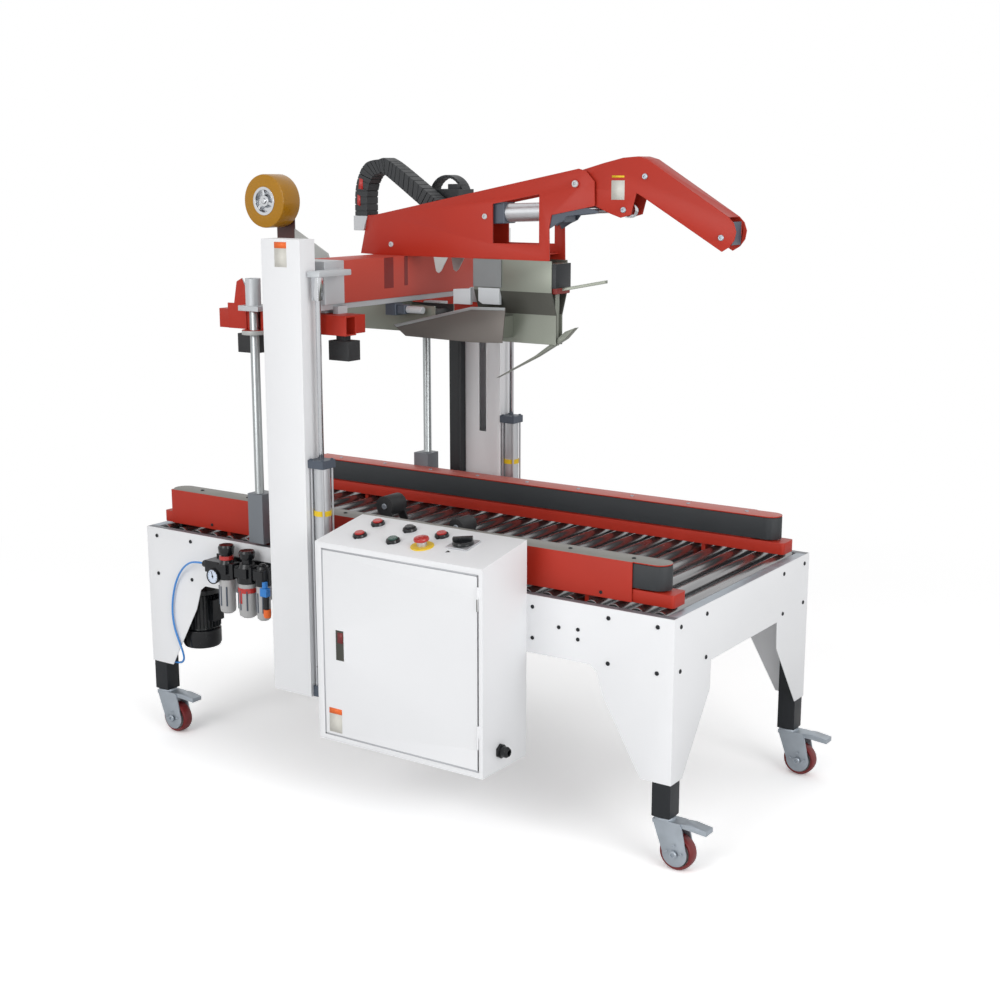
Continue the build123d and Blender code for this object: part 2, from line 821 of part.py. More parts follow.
def lift_rod():
    """Near piston rod with its clevis under the lug."""
    x = lift_cylinder_x
    y = -lift_cylinder_y
    half = lift_clevis_size / 2
    clevis_z = lug_low_z - lift_clevis_height
    rod = rod_z(x, y, lift_tube_top_z - lift_rod_overlap, clevis_z, lift_rod_radius)
    return rod + block(x - half, x + half, y - half, y + half, clevis_z, lug_low_z)


def folding_arm():
    """Two side plates bent in at their outfeed end, tied by cross plates, with the kicker's pivot pin."""
    outline = on_beam(arm_outline)
    low_x = min(x for x, z in outline)
    high_x = max(x for x, z in outline)
    inner = arm_plate_y - arm_sheet
    nose = arm_nose_y - arm_sheet
    outer_plan = [(low_x, -arm_nose_y), (arm_bend_x, -arm_plate_y), (high_x, -arm_plate_y),
                  (high_x, arm_plate_y), (arm_bend_x, arm_plate_y), (low_x, arm_nose_y)]
    inner_plan = [(low_x - 1, -nose), (arm_bend_x, -inner), (high_x + 1, -inner), (high_x + 1, inner),
                  (arm_bend_x, inner), (low_x - 1, nose)]
    low_z = beam_top_z
    high_z = max(z for x, z in outline)
    shell = prism(outer_plan, low_z, high_z) - prism(inner_plan, low_z - 1, high_z + 1)
    arm = shell & plate_xz(outline, -arm_plate_y, arm_plate_y)
    arm -= plate_xz(on_beam(arm_window), -arm_plate_y - 1, arm_plate_y + 1)
    arm += block(arm_bend_x, arm_bend_x + arm_sheet, -inner, inner, low_z, low_z + 108)
    arm += block(arm_cross_x, arm_cross_x + arm_sheet, -inner, inner, low_z + 2, low_z + 125)
    arm += block(arm_shelf_x[0], arm_shelf_x[1], -inner, inner, low_z + arm_shelf_rise,
                 low_z + arm_shelf_rise + arm_sheet)
    arm += rod_y(kick_rear_pin[0], kick_rear_pin[1], -inner, inner, ear_pin_radius)
    reach = arm_plate_y + pin_proud
    return arm + rod_y(kicker_pivot[0], kicker_pivot[1], -reach, reach, kicker_pin_radius)


def kicker():
    """Rear-flap folder: two side plates under a top skin, with a rubber bumper at the tip."""
    inner = kicker_plate_y - arm_sheet
    plate = plate_xz(on_beam(kicker_outline), -kicker_plate_y, -inner)
    arm = plate + far(plate) + plate_xz(on_beam(kicker_skin), -inner, inner)
    arm += block(bumper_x, bumper_x + bumper_thickness, -inner, inner, beam_top_z + bumper_z[0],
                 beam_top_z + bumper_z[1])
    arm += rod_y(kicker_ear_pin[0], kicker_ear_pin[1], -inner, inner, ear_pin_radius)
    arm += rod_y(kicker_pivot[0], kicker_pivot[1], -inner, inner, kicker_pin_radius + kicker_sleeve_wall)
    bore = kicker_pin_radius + running_gap
    return arm - rod_y(kicker_pivot[0], kicker_pivot[1], -arm_plate_y, arm_plate_y, bore)


def along_kick(distance):
    """A place along the kick cylinder's axis, with its local X along the axis."""
    dx = kicker_ear_pin[0] - kick_rear_pin[0]
    dz = kicker_ear_pin[1] - kick_rear_pin[1]
    reach = math.hypot(dx, dz)
    x = kick_rear_pin[0] + dx / reach * distance
    z = kick_rear_pin[1] + dz / reach * distance
    return Pos(x, 0, z) * Rot(0, -math.degrees(math.atan2(dz, dx)), 0)


def kick_cylinder():
    """Air cylinder inside the arm, on its rear pin."""
    cap = 2 * kick_cap_half
    rear_cap = kick_eye_length - 5
    tube_start = rear_cap + kick_rear_cap
    tube_end = tube_start + kick_tube_length
    body = along_kick(15) * Box(50, 24, 2 * ear_pin_radius + 16)
    body += along_kick(rear_cap + kick_rear_cap / 2) * Box(kick_rear_cap, cap, cap)
    tube = Rot(0, 90, 0) * Cylinder(kick_tube_radius, kick_tube_length)
    body += along_kick((tube_start + tube_end) / 2) * tube
    body += along_kick(tube_end + kick_front_cap / 2) * Box(kick_front_cap, cap, cap)
    bore_start = tube_start + 25
    bore_end = tube_end + kick_front_cap + 1
    bore = Rot(0, 90, 0) * Cylinder(kick_rod_radius + 1, bore_end - bore_start)
    body -= along_kick((bore_start + bore_end) / 2) * bore
    return body - rod_y(kick_rear_pin[0], kick_rear_pin[1], -20, 20, ear_pin_radius + running_gap)


def kick_rod():
    """Piston rod with a wide eye round the kicker's ear pin."""
    reach = math.hypot(kicker_ear_pin[0] - kick_rear_pin[0], kicker_ear_pin[1] - kick_rear_pin[1])
    end = reach - kick_eye_outer + 3
    shaft = Rot(0, 90, 0) * Cylinder(kick_rod_radius, end - kick_rod_start)
    rod = along_kick((kick_rod_start + end) / 2) * shaft
    eye = rod_y(kicker_ear_pin[0], kicker_ear_pin[1], -kick_eye_half, kick_eye_half, kick_eye_outer)
    return rod + eye - rod_y(kicker_ear_pin[0], kicker_ear_pin[1], -kick_eye_half - 1, kick_eye_half + 1,
                             kick_eye_inner)


def fold_plates():
    """The pair of bent plates and the block that ties their infeed ends."""
    high = arm_plate_y
    low = fold_inner_y
    bend_high_z = beam_top_z - fold_bend_high_drop
    bend_low_z = beam_top_z - fold_bend_low_drop
    low_z = beam_top_z - fold_drop
    outside = [(-high, beam_top_z), (-high, bend_high_z), (-low, bend_low_z), (-low, low_z)]
    inside = [(-low + arm_sheet, low_z), (-low + arm_sheet, bend_low_z + 2),
              (-high + arm_sheet, bend_high_z + 2), (-high + arm_sheet, beam_top_z)]
    plate = plate_yz(outside + inside, fold_low_x, fold_high_x)
    inner = arm_plate_y - arm_sheet
    tie = block(fold_tie_low_x, fold_tie_high_x, -inner, inner, bend_high_z + fold_tie_z[0],
                bend_high_z + fold_tie_z[1])
    return plate + far(plate) + tie


def ploughs():
    """Side flap ploughs on webs from the bent plates, and the front flap blade on its stem."""
    low_z = beam_top_z - fold_drop
    stem_top = beam_top_z - fold_bend_high_drop + fold_tie_z[0]
    plate = plate_xz(on_beam(plough_outline), -plough_y, -plough_y + arm_sheet)
    web = block(plough_web_x, plough_web_x + arm_sheet, -plough_y + arm_sheet, -fold_inner_y, low_z + 14,
                beam_top_z - fold_bend_low_drop - 6)
    stem_x = fold_high_x - 20
    stem = block(stem_x, stem_x + stem_width, -blade_half_width, blade_half_width, low_z - 3, stem_top)
    stem += plate_xz(on_beam(pointer_outline), -6, 6)
    stem += plate_xz(on_beam(blade_outline), -blade_half_width, blade_half_width)
    return Compound(children=[plate + web, far(plate + web), stem])


def upper_tape_head():
    """Frame of the upper tape head under the beam, with its rollers and the tape roll's post."""
    outer = upper_half_width
    shoulder_z = beam_top_z - upper_shoulder_drop
    outline = [(upper_low_x, upper_low_z + 30), (upper_low_x, shoulder_z), (upper_shoulder_x[0], shoulder_z),
               (upper_shoulder_x[1], upper_top_z), (upper_high_x, upper_top_z), (upper_high_x, upper_low_z),
               (upper_low_x + 60, upper_low_z)]
    plate = plate_xz(outline, -outer, -outer + head_plate)
    head = plate + far(plate)
    block_high_x = head_rail_x - head_rail_width / 2 - 4
    head += block(upper_block_x, block_high_x, -outer, outer, upper_top_z - 20, beam_low_z)
    for x in (upper_low_x + upper_roller_inset[0], upper_high_x - upper_roller_inset[1]):
        head += rod_y(x, upper_low_z + 40, -outer, outer, upper_roller_radius)
    post_low_x = tape_x - tape_post_reach[0]
    post_high_x = tape_x + tape_post_reach[1]
    post_top_z = tape_z + tape_post_top
    post = [(post_low_x, shoulder_z), (post_low_x, post_top_z), (post_high_x, post_top_z),
            (post_high_x, shoulder_z + 86), (upper_shoulder_x[0] - 36, shoulder_z + 17),
            (upper_shoulder_x[0] - 20, shoulder_z - 30), (upper_low_x + 10, shoulder_z - 30)]
    head += plate_xz(post, outer - head_plate, outer)
    return head + rod_y(tape_x, tape_z, -tape_width / 2 - 4, outer, tape_pin_radius)


def tape_roll():
    """Roll of tape."""
    half = tape_width / 2
    hole = rod_y(tape_x, tape_z, -half - 1, half + 1, tape_core_radius)
    return rod_y(tape_x, tape_z, -half, half, tape_radius) - hole


def tape_hub():
    """Hub inside the roll of tape."""
    half = tape_width / 2
    hub = rod_y(tape_x, tape_z, -half, half, tape_core_radius - running_gap)
    return hub - rod_y(tape_x, tape_z, -half - 1, half + 1, tape_pin_radius + running_gap)


def cable_chains():
    """Cable chain that rises over the arm's outfeed end, and a small looped one on its far plate."""
    half = chain_half_width
    first = plate_xz(on_beam(chain_outline), -half, half) + plate_xz(on_beam(chain_tab), -half, half)
    x, z = on_beam([chain_loop_place])[0]
    outer, inner = chain_loop_radius
    low_y = arm_plate_y + chain_loop_width[0]
    high_y = arm_plate_y + chain_loop_width[1]
    loop = rod_y(x, z, low_y, high_y, outer) - rod_y(x, z, low_y - 1, high_y + 1, inner)
    loop -= block(x - outer, x + outer, low_y - 1, high_y + 1, z - outer - 1, beam_top_z + chain_box_z[0])
    box = block(chain_box_x[0], chain_box_x[1], arm_plate_y, high_y, beam_top_z + chain_box_z[0],
                beam_top_z + chain_box_z[1])
    foot = block(x - outer, x + outer, arm_plate_y, high_y, beam_top_z + chain_box_z[0] - 8,
                 beam_top_z + chain_box_z[0] + 8)
    return Compound(children=[first, loop + box + foot])


def press_unit():
    """Near press unit: channel, column sleeve, rollers and the shoe on the beam's rail."""
    inner = -press_inner_y
    outer = -press_outer_y
    wall = press_wall
    channel = block(press_low_x, press_high_x, outer, inner, press_low_z, press_top_z)
    channel -= block(press_low_x - 1, press_high_x + 1, outer + wall, inner - wall, press_low_z + wall,
                     press_top_z - wall)
    channel -= rod_z(column_x, -column_y, press_low_z - 1, press_top_z + 1, column_radius + press_clearance)
    front = -column_y - sleeve_radius - 2
    seat = block(column_x - seat_half, column_x + seat_half, front, inner, press_top_z, sleeve_low_z)
    sleeve = seat + rod_z(column_x, -column_y, sleeve_low_z, sleeve_top_z, sleeve_radius)
    flange = rod_z(column_x, -column_y, press_low_z - flange_height, press_low_z, flange_radius)
    bore = rod_z(column_x, -column_y, press_low_z - 20, sleeve_top_z + 1, column_radius + running_gap)
    unit = channel + sleeve + flange - bore
    plate = [(36, press_low_z), (36, sleeve_low_z + 3), (60, sleeve_low_z + 3), (72, sleeve_low_z + 62),
             (92, sleeve_low_z + 72), (104, sleeve_low_z + 50), (104, press_low_z)]
    unit += plate_xz([(press_low_x + x, z) for x, z in plate], outer - wall, outer)
    roller_top_z = press_roller_low_z + press_roller_height
    for x in press_roller_x:
        unit += block(x - 14, x + 14, inner - 30, inner - 4, roller_top_z - 2, press_low_z)
        unit += block(x - 34, x + 34, inner - 38, inner + 10, press_roller_low_z, roller_top_z)
    shoe_y = inner + press_shoe_width
    unit += block(head_rail_x - 30, press_high_x, inner, shoe_y, press_low_z + 4, press_top_z)
    gap = head_rail_width / 2 + running_gap
    for x0, x1 in ((head_rail_x - 30, head_rail_x - gap), (head_rail_x + gap, head_rail_x + 30)):
        unit += block(x0, x1, inner, shoe_y, press_top_z, beam_low_z - press_clearance)
    return unit


def caster_fork(x, y):
    """Swivel fork with round cheeks and a brake pedal, its wheel trailing towards the infeed end."""
    axle_x = x + caster_trail
    half = wheel_width / 2 + fork_gap
    outer = half + fork_leg
    top = caster_height - running_gap
    fork = rod_z(x, y, top - 6, top, swivel_radius)
    fork += block(x - swivel_radius + 4, axle_x + 14, y - outer, y + outer, top - 16, top - 6)
    cheek = [(x - 22, top - 10), (axle_x + 16, top - 10), (axle_x + fork_cheek_radius, wheel_radius),
             (axle_x - fork_cheek_radius, wheel_radius)]
    for side in (y - outer, y + half):
        fork += plate_xz(cheek, side, side + fork_leg)
        fork += rod_y(axle_x, wheel_radius, side, side + fork_leg, fork_cheek_radius)
    fork += rod_y(axle_x, wheel_radius, y - outer, y + outer, axle_radius)
    pedal = [(axle_x + 10, top - 6), (axle_x + 10, top - 16), (axle_x + pedal_length, top - 22),
             (axle_x + pedal_length, top - 10), (axle_x + 40, top - 4)]
    return fork + plate_xz(pedal, y - pedal_width / 2, y + pedal_width / 2)


def caster_wheel(x, y):
    """Caster wheel with a slightly rounded tread."""
    axle_x = x + caster_trail
    wheel = rod_y(axle_x, wheel_radius, y - wheel_width / 2, y + wheel_width / 2, wheel_radius)
    wheel = chamfer(wheel.edges().filter_by(GeomType.CIRCLE), 4)
    return wheel - rod_y(axle_x, wheel_radius, y - wheel_width, y + wheel_width, axle_radius + pin_gap)


os.makedirs("parts", exist_ok=True)

save("side_panel_near", side_panel())
save("side_panel_far", far(side_panel()))
save("end_panel_infeed", end_panel())
save("end_panel_outfeed", mirror(end_panel(), about=Plane.YZ))
corners = {"infeed_near": (post_x, -post_y), "infeed_far": (post_x, post_y),
           "outfeed_near": (-post_x, -post_y), "outfeed_far": (-post_x, post_y)}
save("leg_posts", Compound(children=[Pos(x, y, 0) * leg_post() for x, y in corners.values()]))
for corner, (x, y) in corners.items():
    save("caster_fork_" + corner, caster_fork(x, y))
    save("caster_wheel_" + corner, caster_wheel(x, y))
save("bed_frame", bed_frame())
save("bed_rollers", bed_rollers())
save("bed_plates", bed_plates())
save("lower_tape_head", lower_tape_head())
save("lower_front_arm", tape_arm(front_arm_pivot, front_arm_tip, front_arm_roller))
save("lower_rear_arm", tape_arm(rear_arm_pivot, rear_arm_tip, rear_arm_roller))
save("mast_near", mast())
save("mast_far", far(mast()))
save("cable_duct", cable_duct())
save("lift_cylinders", Compound(children=[lift_cylinder(), far(lift_cylinder())]))
save("cabinet_shell", cabinet_shell())
save("cabinet_door", cabinet_door())
save("panel_controls", panel_controls())
save("cable_gland", cable_gland())
save("air_service_unit", air_service_unit())
save("air_hose", air_hose())
save("hose_fitting", hose_fitting())
belt_pieces = {"belt_base": belt_base(), "belt_loop": belt_loop(), "belt_pulleys": belt_pulleys(),
               "belt_cover": belt_cover(), "belt_motor": belt_motor(), "belt_column": belt_column()}
for name, piece in belt_pieces.items():
    save(name + "_near", piece)
    save(name + "_far", far(piece))
save("crossbeam", crossbeam())
save("beam_ends", beam_ends())
save("lift_rods", Compound(children=[lift_rod(), far(lift_rod())]))
save("folding_arm", folding_arm())
save("fold_plates", fold_plates())
save("ploughs", ploughs())
save("upper_tape_head", upper_tape_head())
save("cable_chains", cable_chains())
save("tape_roll", tape_roll())
save("tape_hub", tape_hub())
save("kicker", kicker())
save("kick_cylinder", kick_cylinder())
save("kick_rod", kick_rod())
save("press_unit_near", press_unit())
save("press_unit_far", far(press_unit()))
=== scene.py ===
import json
import math

import bmesh
import bpy
from mathutils import Matrix, Vector


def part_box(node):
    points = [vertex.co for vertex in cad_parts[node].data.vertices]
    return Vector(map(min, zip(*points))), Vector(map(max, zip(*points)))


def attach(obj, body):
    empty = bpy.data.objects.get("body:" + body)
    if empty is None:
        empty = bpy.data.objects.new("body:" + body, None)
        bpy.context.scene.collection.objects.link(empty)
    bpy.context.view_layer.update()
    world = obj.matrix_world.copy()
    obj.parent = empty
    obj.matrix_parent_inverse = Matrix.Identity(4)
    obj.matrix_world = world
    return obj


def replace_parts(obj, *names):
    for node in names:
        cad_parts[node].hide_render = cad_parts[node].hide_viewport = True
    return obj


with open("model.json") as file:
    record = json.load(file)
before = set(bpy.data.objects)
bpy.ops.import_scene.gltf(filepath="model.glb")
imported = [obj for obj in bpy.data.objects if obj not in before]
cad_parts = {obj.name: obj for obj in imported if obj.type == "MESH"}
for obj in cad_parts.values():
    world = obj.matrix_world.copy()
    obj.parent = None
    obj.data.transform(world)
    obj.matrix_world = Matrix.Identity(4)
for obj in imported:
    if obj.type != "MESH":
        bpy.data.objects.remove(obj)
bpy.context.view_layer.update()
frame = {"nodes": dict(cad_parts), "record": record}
BODY = {node: body for body, nodes in frame["record"]["behaviour"]["bodies"].items() for node in nodes}

# Camera, solved from the table frame's edges: metres, degrees and millimetres
camera_place = (2.487, -3.51, 1.664)
camera_pitch_down = 12.08
camera_yaw = 34.04
camera_lens = 55.88
sensor_width = 36

# Places that the dressing shares with the construction, in metres
side_y = 0.395
end_x = 0.875
roller_count = 27
roller_radius = 0.019
mast_front_y = -0.485
cabinet_front_y = -0.589
belt_y = 0.316
kick_rear_pin = Vector((0.073, 0, 1.544))
kick_ear_pin = Vector((0.514, 0, 1.56))
tape_centre = Vector((-0.7, 0, 1.568))

# The air unit's middle plane, its bodies' heights, and each bowl's place and radius
air_y = -0.432
air_low = 0.538
air_high = 0.588
bowl_bottom = 0.433
air_stations = ((-0.52, 0.024), (-0.442, 0.028), (-0.384, 0.021))

# Each side's name, its sign in Y and the way it faces
SIDES = (("near", -1, "-Y"), ("far", 1, "Y"))

# Edges that turn more than this are softened, or stay sharp where nothing softens them
crease = math.radians(32)


def srgb(red, green, blue):
    """A colour given as 0 to 255 values, as linear light."""
    def one(value):
        value /= 255
        return value / 12.92 if value < 0.04045 else ((value + 0.055) / 1.055) ** 2.4
    return one(red), one(green), one(blue), 1


def shade(colour, share):
    """The same colour, lighter or darker."""
    return tuple(min(1, part * share) for part in colour[:3]) + (1,)


def surface(name):
    """A new material with its node tree and its shader."""
    look = bpy.data.materials.new(name)
    look.use_nodes = True
    return look, look.node_tree, look.node_tree.nodes["Principled BSDF"]


def add_node(tree, kind, operation=None, **values):
    """A shader node with its operation and its inputs set."""
    node = tree.nodes.new("ShaderNode" + kind)
    if operation:
        node.operation = operation
    for name, value in values.items():
        node.inputs[name.replace("_", " ")].default_value = value
    return node


def noise(tree, vector, scale, detail):
    """A noise texture on a vector output."""
    node = add_node(tree, "TexNoise", Scale=scale, Detail=detail)
    tree.links.new(vector, node.inputs["Vector"])
    return node.outputs["Fac"]


def mixed(tree, factor, first, second):
    """A colour between two, by a factor."""
    node = tree.nodes.new("ShaderNodeMix")
    node.data_type = "RGBA"
    node.inputs["A"].default_value = first
    node.inputs["B"].default_value = second
    tree.links.new(factor, node.inputs["Factor"])
    return node.outputs["Result"]


def ranged(tree, value, low, high):
    """A noise value, which keeps mostly between 0.3 and 0.7, stretched to a new range."""
    node = add_node(tree, "MapRange", From_Min=0.3, From_Max=0.7, To_Min=low, To_Max=high)
    tree.links.new(value, node.inputs["Value"])
    return node.outputs["Result"]


def finish(name, colour, rough, metal=0.0, vary=0.04, patch=8, grain=900, bump=0.1, stretch=(1, 1, 1),
           coat=0.0, gloss=0.5):
    """A surface with patches of a colour of 0 to 255 values, uneven gloss and a fine grain."""
    patch_detail, grain_detail, grain_height, rough_spread = 4, 2, 0.0004, 0.05
    look, tree, shader = surface(name)
    link = tree.links.new
    shader.inputs["Metallic"].default_value = metal
    shader.inputs["Coat Weight"].default_value = coat
    shader.inputs["Specular IOR Level"].default_value = gloss
    place = add_node(tree, "TexCoord")
    mapping = add_node(tree, "Mapping", Scale=stretch)
    link(place.outputs["Object"], mapping.inputs["Vector"])
    patches = noise(tree, mapping.outputs["Vector"], patch, patch_detail)
    fine = noise(tree, mapping.outputs["Vector"], grain, grain_detail)
    tint = mixed(tree, patches, shade(srgb(*colour), 1 - vary), shade(srgb(*colour), 1 + vary))
    dull = ranged(tree, patches, rough - rough_spread, rough + rough_spread)
    relief = add_node(tree, "Bump", Strength=bump, Distance=grain_height)
    link(tint, shader.inputs["Base Color"])
    link(dull, shader.inputs["Roughness"])
    link(fine, relief.inputs["Height"])
    link(relief.outputs["Normal"], shader.inputs["Normal"])
    return look


WHITE = finish("white_powder", (230, 231, 233), 0.42, vary=0.012, bump=0.1)
RED = finish("red_powder", (172, 44, 28), 0.44, vary=0.06, bump=0.12, gloss=0.28)
# A copy of the red paint for the crossbeam, toned browner as painted shade
SHADED_BEAM_RED = finish("beam_red_painted_shade", (186, 74, 62), 0.46, vary=0.08, patch=5, bump=0.14, gloss=0.28)
# Darker red. On the beam's end it is painted shade: thin strips stand for the shade in its recesses. The fold
# hook takes it too
DARK_RED = finish("dark_red_and_recess_shade", (118, 24, 18), 0.5, vary=0.1, patch=20, bump=0.12)
# Lighter, greyer copies of the red for the belt covers' top faces, as painted sheen: pinker on the far cover,
# grey with glare on the near one
SHEEN_PINK = finish("cover_top_sheen_red", (186, 96, 86), 0.46, vary=0.1, patch=12, bump=0.12)
GLARE_GREY = finish("cover_top_glare_grey", (124, 122, 116), 0.48, vary=0.1, patch=9, bump=0.14)
# Pale grey for the strips in the door's gap: a painted shadow line, so the gap reads as a thin light shadow
GAP_SHADOW_GREY = finish("door_gap_shadow", (190, 192, 196), 0.6, vary=0.04, patch=30, bump=0.2)
BLACK = finish("black_paint", (28, 31, 35), 0.44, vary=0.15, bump=0.12, gloss=0.35)
GREY = finish("grey_paint", (112, 117, 123), 0.45, vary=0.06)
CAST = finish("cast_grey", (176, 178, 176), 0.5, metal=0.2, vary=0.07, patch=26, grain=420, bump=0.35)
ZINC = finish("zinc_plate", (166, 174, 182), 0.4, metal=0.6, vary=0.14, patch=40, grain=500, bump=0.2)
# The strong light and dark streaks along the tubes are partly painted reflection streaks and painted shade
ROLLER = finish("roller_tube", (150, 150, 151), 0.24, metal=0.95, vary=0.38, patch=26, grain=700,
                bump=0.15, stretch=(1, 0.1, 1))
PLATE = finish("bent_plate", (132, 136, 126), 0.38, metal=0.5, vary=0.09, patch=7, grain=600,
               bump=0.12, stretch=(1, 1, 0.08))
# Dark steel: the door lock's lever, and painted shade on the fold plates' sloped middle band
BAND_SHADE_AND_LEVER = finish("band_shade_and_lever_steel", (70, 70, 64), 0.42, metal=0.4, vary=0.1, patch=9, grain=600, bump=0.12)
PLOUGH = finish("plough_plate", (98, 93, 89), 0.4, metal=0.5, vary=0.14, patch=7, grain=600,
                bump=0.12, stretch=(0.2, 1, 1))
GROUND = finish("ground_steel", (158, 162, 163), 0.3, metal=0.8, vary=0.06, patch=12, grain=700,
                bump=0.1, stretch=(1, 1, 0.06))
CHROME = finish("polished_rod", (205, 207, 210), 0.14, metal=1.0, vary=0.04, grain=300, bump=0.03)
SILVER = finish("anodised_tube", (196, 198, 201), 0.32, metal=0.7, vary=0.05, patch=14, grain=600,
                bump=0.08)
SLATE = finish("slate_cap", (72, 80, 92), 0.42, vary=0.1, patch=22, bump=0.18)
BELT = finish("belt_fabric", (42, 45, 48), 0.62, vary=0.16, patch=16, grain=1400, bump=0.55)
RUBBER = finish("black_rubber", (30, 31, 33), 0.6, vary=0.18, patch=30, grain=800, bump=0.35)
TREAD = finish("red_tread", (112, 24, 26), 0.45, vary=0.14, patch=40, grain=700, bump=0.25, coat=0.1)
LINK = finish("chain_plastic", (32, 35, 38), 0.48, vary=0.12, patch=30, bump=0.2)
GLOSS = finish("gloss_black", (18, 20, 23), 0.24, vary=0.1, patch=30, bump=0.05, coat=0.15, gloss=0.35)
BUTTON_RED = finish("button_red", (178, 38, 34), 0.28, vary=0.08, patch=60, bump=0.05, coat=0.3)
BUTTON_GREEN = finish("button_green", (52, 82, 74), 0.28, vary=0.1, patch=60, bump=0.05, coat=0.3)
YELLOW = finish("signal_yellow", (226, 190, 22), 0.38, vary=0.05, patch=50, bump=0.06)
ORANGE = finish("label_orange", (232, 104, 34), 0.45, vary=0.03, patch=60, bump=0.05)
LABEL = finish("label_pale", (206, 204, 196), 0.5, vary=0.03, patch=60, bump=0.05)
BLUE = finish("fitting_blue", (44, 124, 200), 0.34, vary=0.06, patch=40, bump=0.06)
HOSE = finish("hose_blue", (58, 134, 208), 0.32, vary=0.06, patch=30, bump=0.04, coat=0.3)
BOWL = finish("bowl_guard", (168, 168, 168), 0.3, vary=0.16, patch=34, bump=0.05, coat=0.4,
              stretch=(1, 1, 0.15))
PALE = finish("pale_casting", (190, 194, 197), 0.45, metal=0.15, vary=0.05, patch=24, grain=500,
              bump=0.25)
CLAMP = finish("clamp_grey", (120, 123, 124), 0.45, metal=0.3, vary=0.08, patch=18, bump=0.15)
POST = finish("post_maroon", (66, 30, 28), 0.45, vary=0.2, patch=14, bump=0.12)
DIAL = finish("gauge_dial", (206, 218, 236), 0.3, vary=0.03, patch=60, bump=0.02, coat=0.5)


def tape_film():
    """Amber film whose sides show the wound turns as fine rings."""
    look = finish("amber_film", (188, 134, 30), 0.3, vary=0.1, patch=20, grain=500, bump=0.06,
                  coat=0.12, gloss=0.28)
    tree = look.node_tree
    shader = tree.nodes["Principled BSDF"]
    link = tree.links.new
    place = add_node(tree, "TexCoord")
    offset = add_node(tree, "VectorMath", "SUBTRACT")
    offset.inputs[1].default_value = tape_centre
    flat = add_node(tree, "VectorMath", "MULTIPLY")
    flat.inputs[1].default_value = (1, 0, 1)
    reach = add_node(tree, "VectorMath", "LENGTH")
    spread = add_node(tree, "CombineXYZ")
    link(place.outputs["Object"], offset.inputs[0])
    link(offset.outputs["Vector"], flat.inputs[0])
    link(flat.outputs["Vector"], reach.inputs[0])
    link(reach.outputs["Value"], spread.inputs["X"])
    rings = noise(tree, spread.outputs["Vector"], 900, 3)
    tint = mixed(tree, rings, srgb(146, 96, 8), srgb(188, 136, 22))
    link(tint, shader.inputs["Base Color"])
    return look


TAPE = tape_film()


def at(x, y, z, along="Z"):
    """A place whose local Z points along a named axis."""
    turns = {"Z": (0, "X"), "X": (90, "Y"), "-X": (-90, "Y"), "Y": (-90, "X"), "-Y": (90, "X")}
    degrees, axis = turns[along]
    return Matrix.Translation((x, y, z)) @ Matrix.Rotation(math.radians(degrees), 4, axis)


def spun(place, degrees):
    """A place turned about its own Z."""
    return place @ Matrix.Rotation(math.radians(degrees), 4, "Z")


def toward(start, end, distance=0.0):
    """A place on the line between two points, with local Z along the line."""
    line = (Vector(end) - Vector(start)).normalized()
    turn = line.to_track_quat("Z", "Y").to_matrix().to_4x4()
    return Matrix.Translation(Vector(start) + line * distance) @ turn


def add_object(name, data):
    """An object in the scene's own collection."""
    made = bpy.data.objects.new(name, data)
    bpy.context.scene.collection.objects.link(made)
    return made


def add_piece(name, mesh, body, look, bevel):
    """A mesh as a piece of the object, with softened edges."""
    for polygon in mesh.polygons:
        polygon.use_smooth = True
    mesh.materials.clear()
    mesh.materials.append(look)
    piece = add_object(name, mesh)
    if bevel:
        edge = piece.modifiers.new("Edge", "BEVEL")
        edge.width = bevel
        edge.segments = 2
        edge.limit_method = "ANGLE"
        edge.angle_limit = crease
        edge.harden_normals = True
    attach(piece, body)
    return piece


def dress(node, look, bevel=0.0008, *others):
    """A construction piece with softened edges. Faces that pass a test take that test's finish."""
    weld, flatness = 0.00002, math.radians(0.8)
    work = bmesh.new()
    work.from_mesh(frame["nodes"][node].data)
    bmesh.ops.remove_doubles(work, verts=work.verts, dist=weld)
    bmesh.ops.dissolve_limit(work, angle_limit=flatness, verts=work.verts, edges=work.edges)
    mesh = bpy.data.meshes.new(node + "_skin")
    work.to_mesh(mesh)
    work.free()
    piece = add_piece(node + "_skin", mesh, BODY[node], look, bevel)
    for number, (other, chosen) in enumerate(others, 1):
        mesh.materials.append(other)
        for polygon in mesh.polygons:
            if chosen(polygon.center, polygon.normal):
                polygon.material_index = number
    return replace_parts(piece, node)


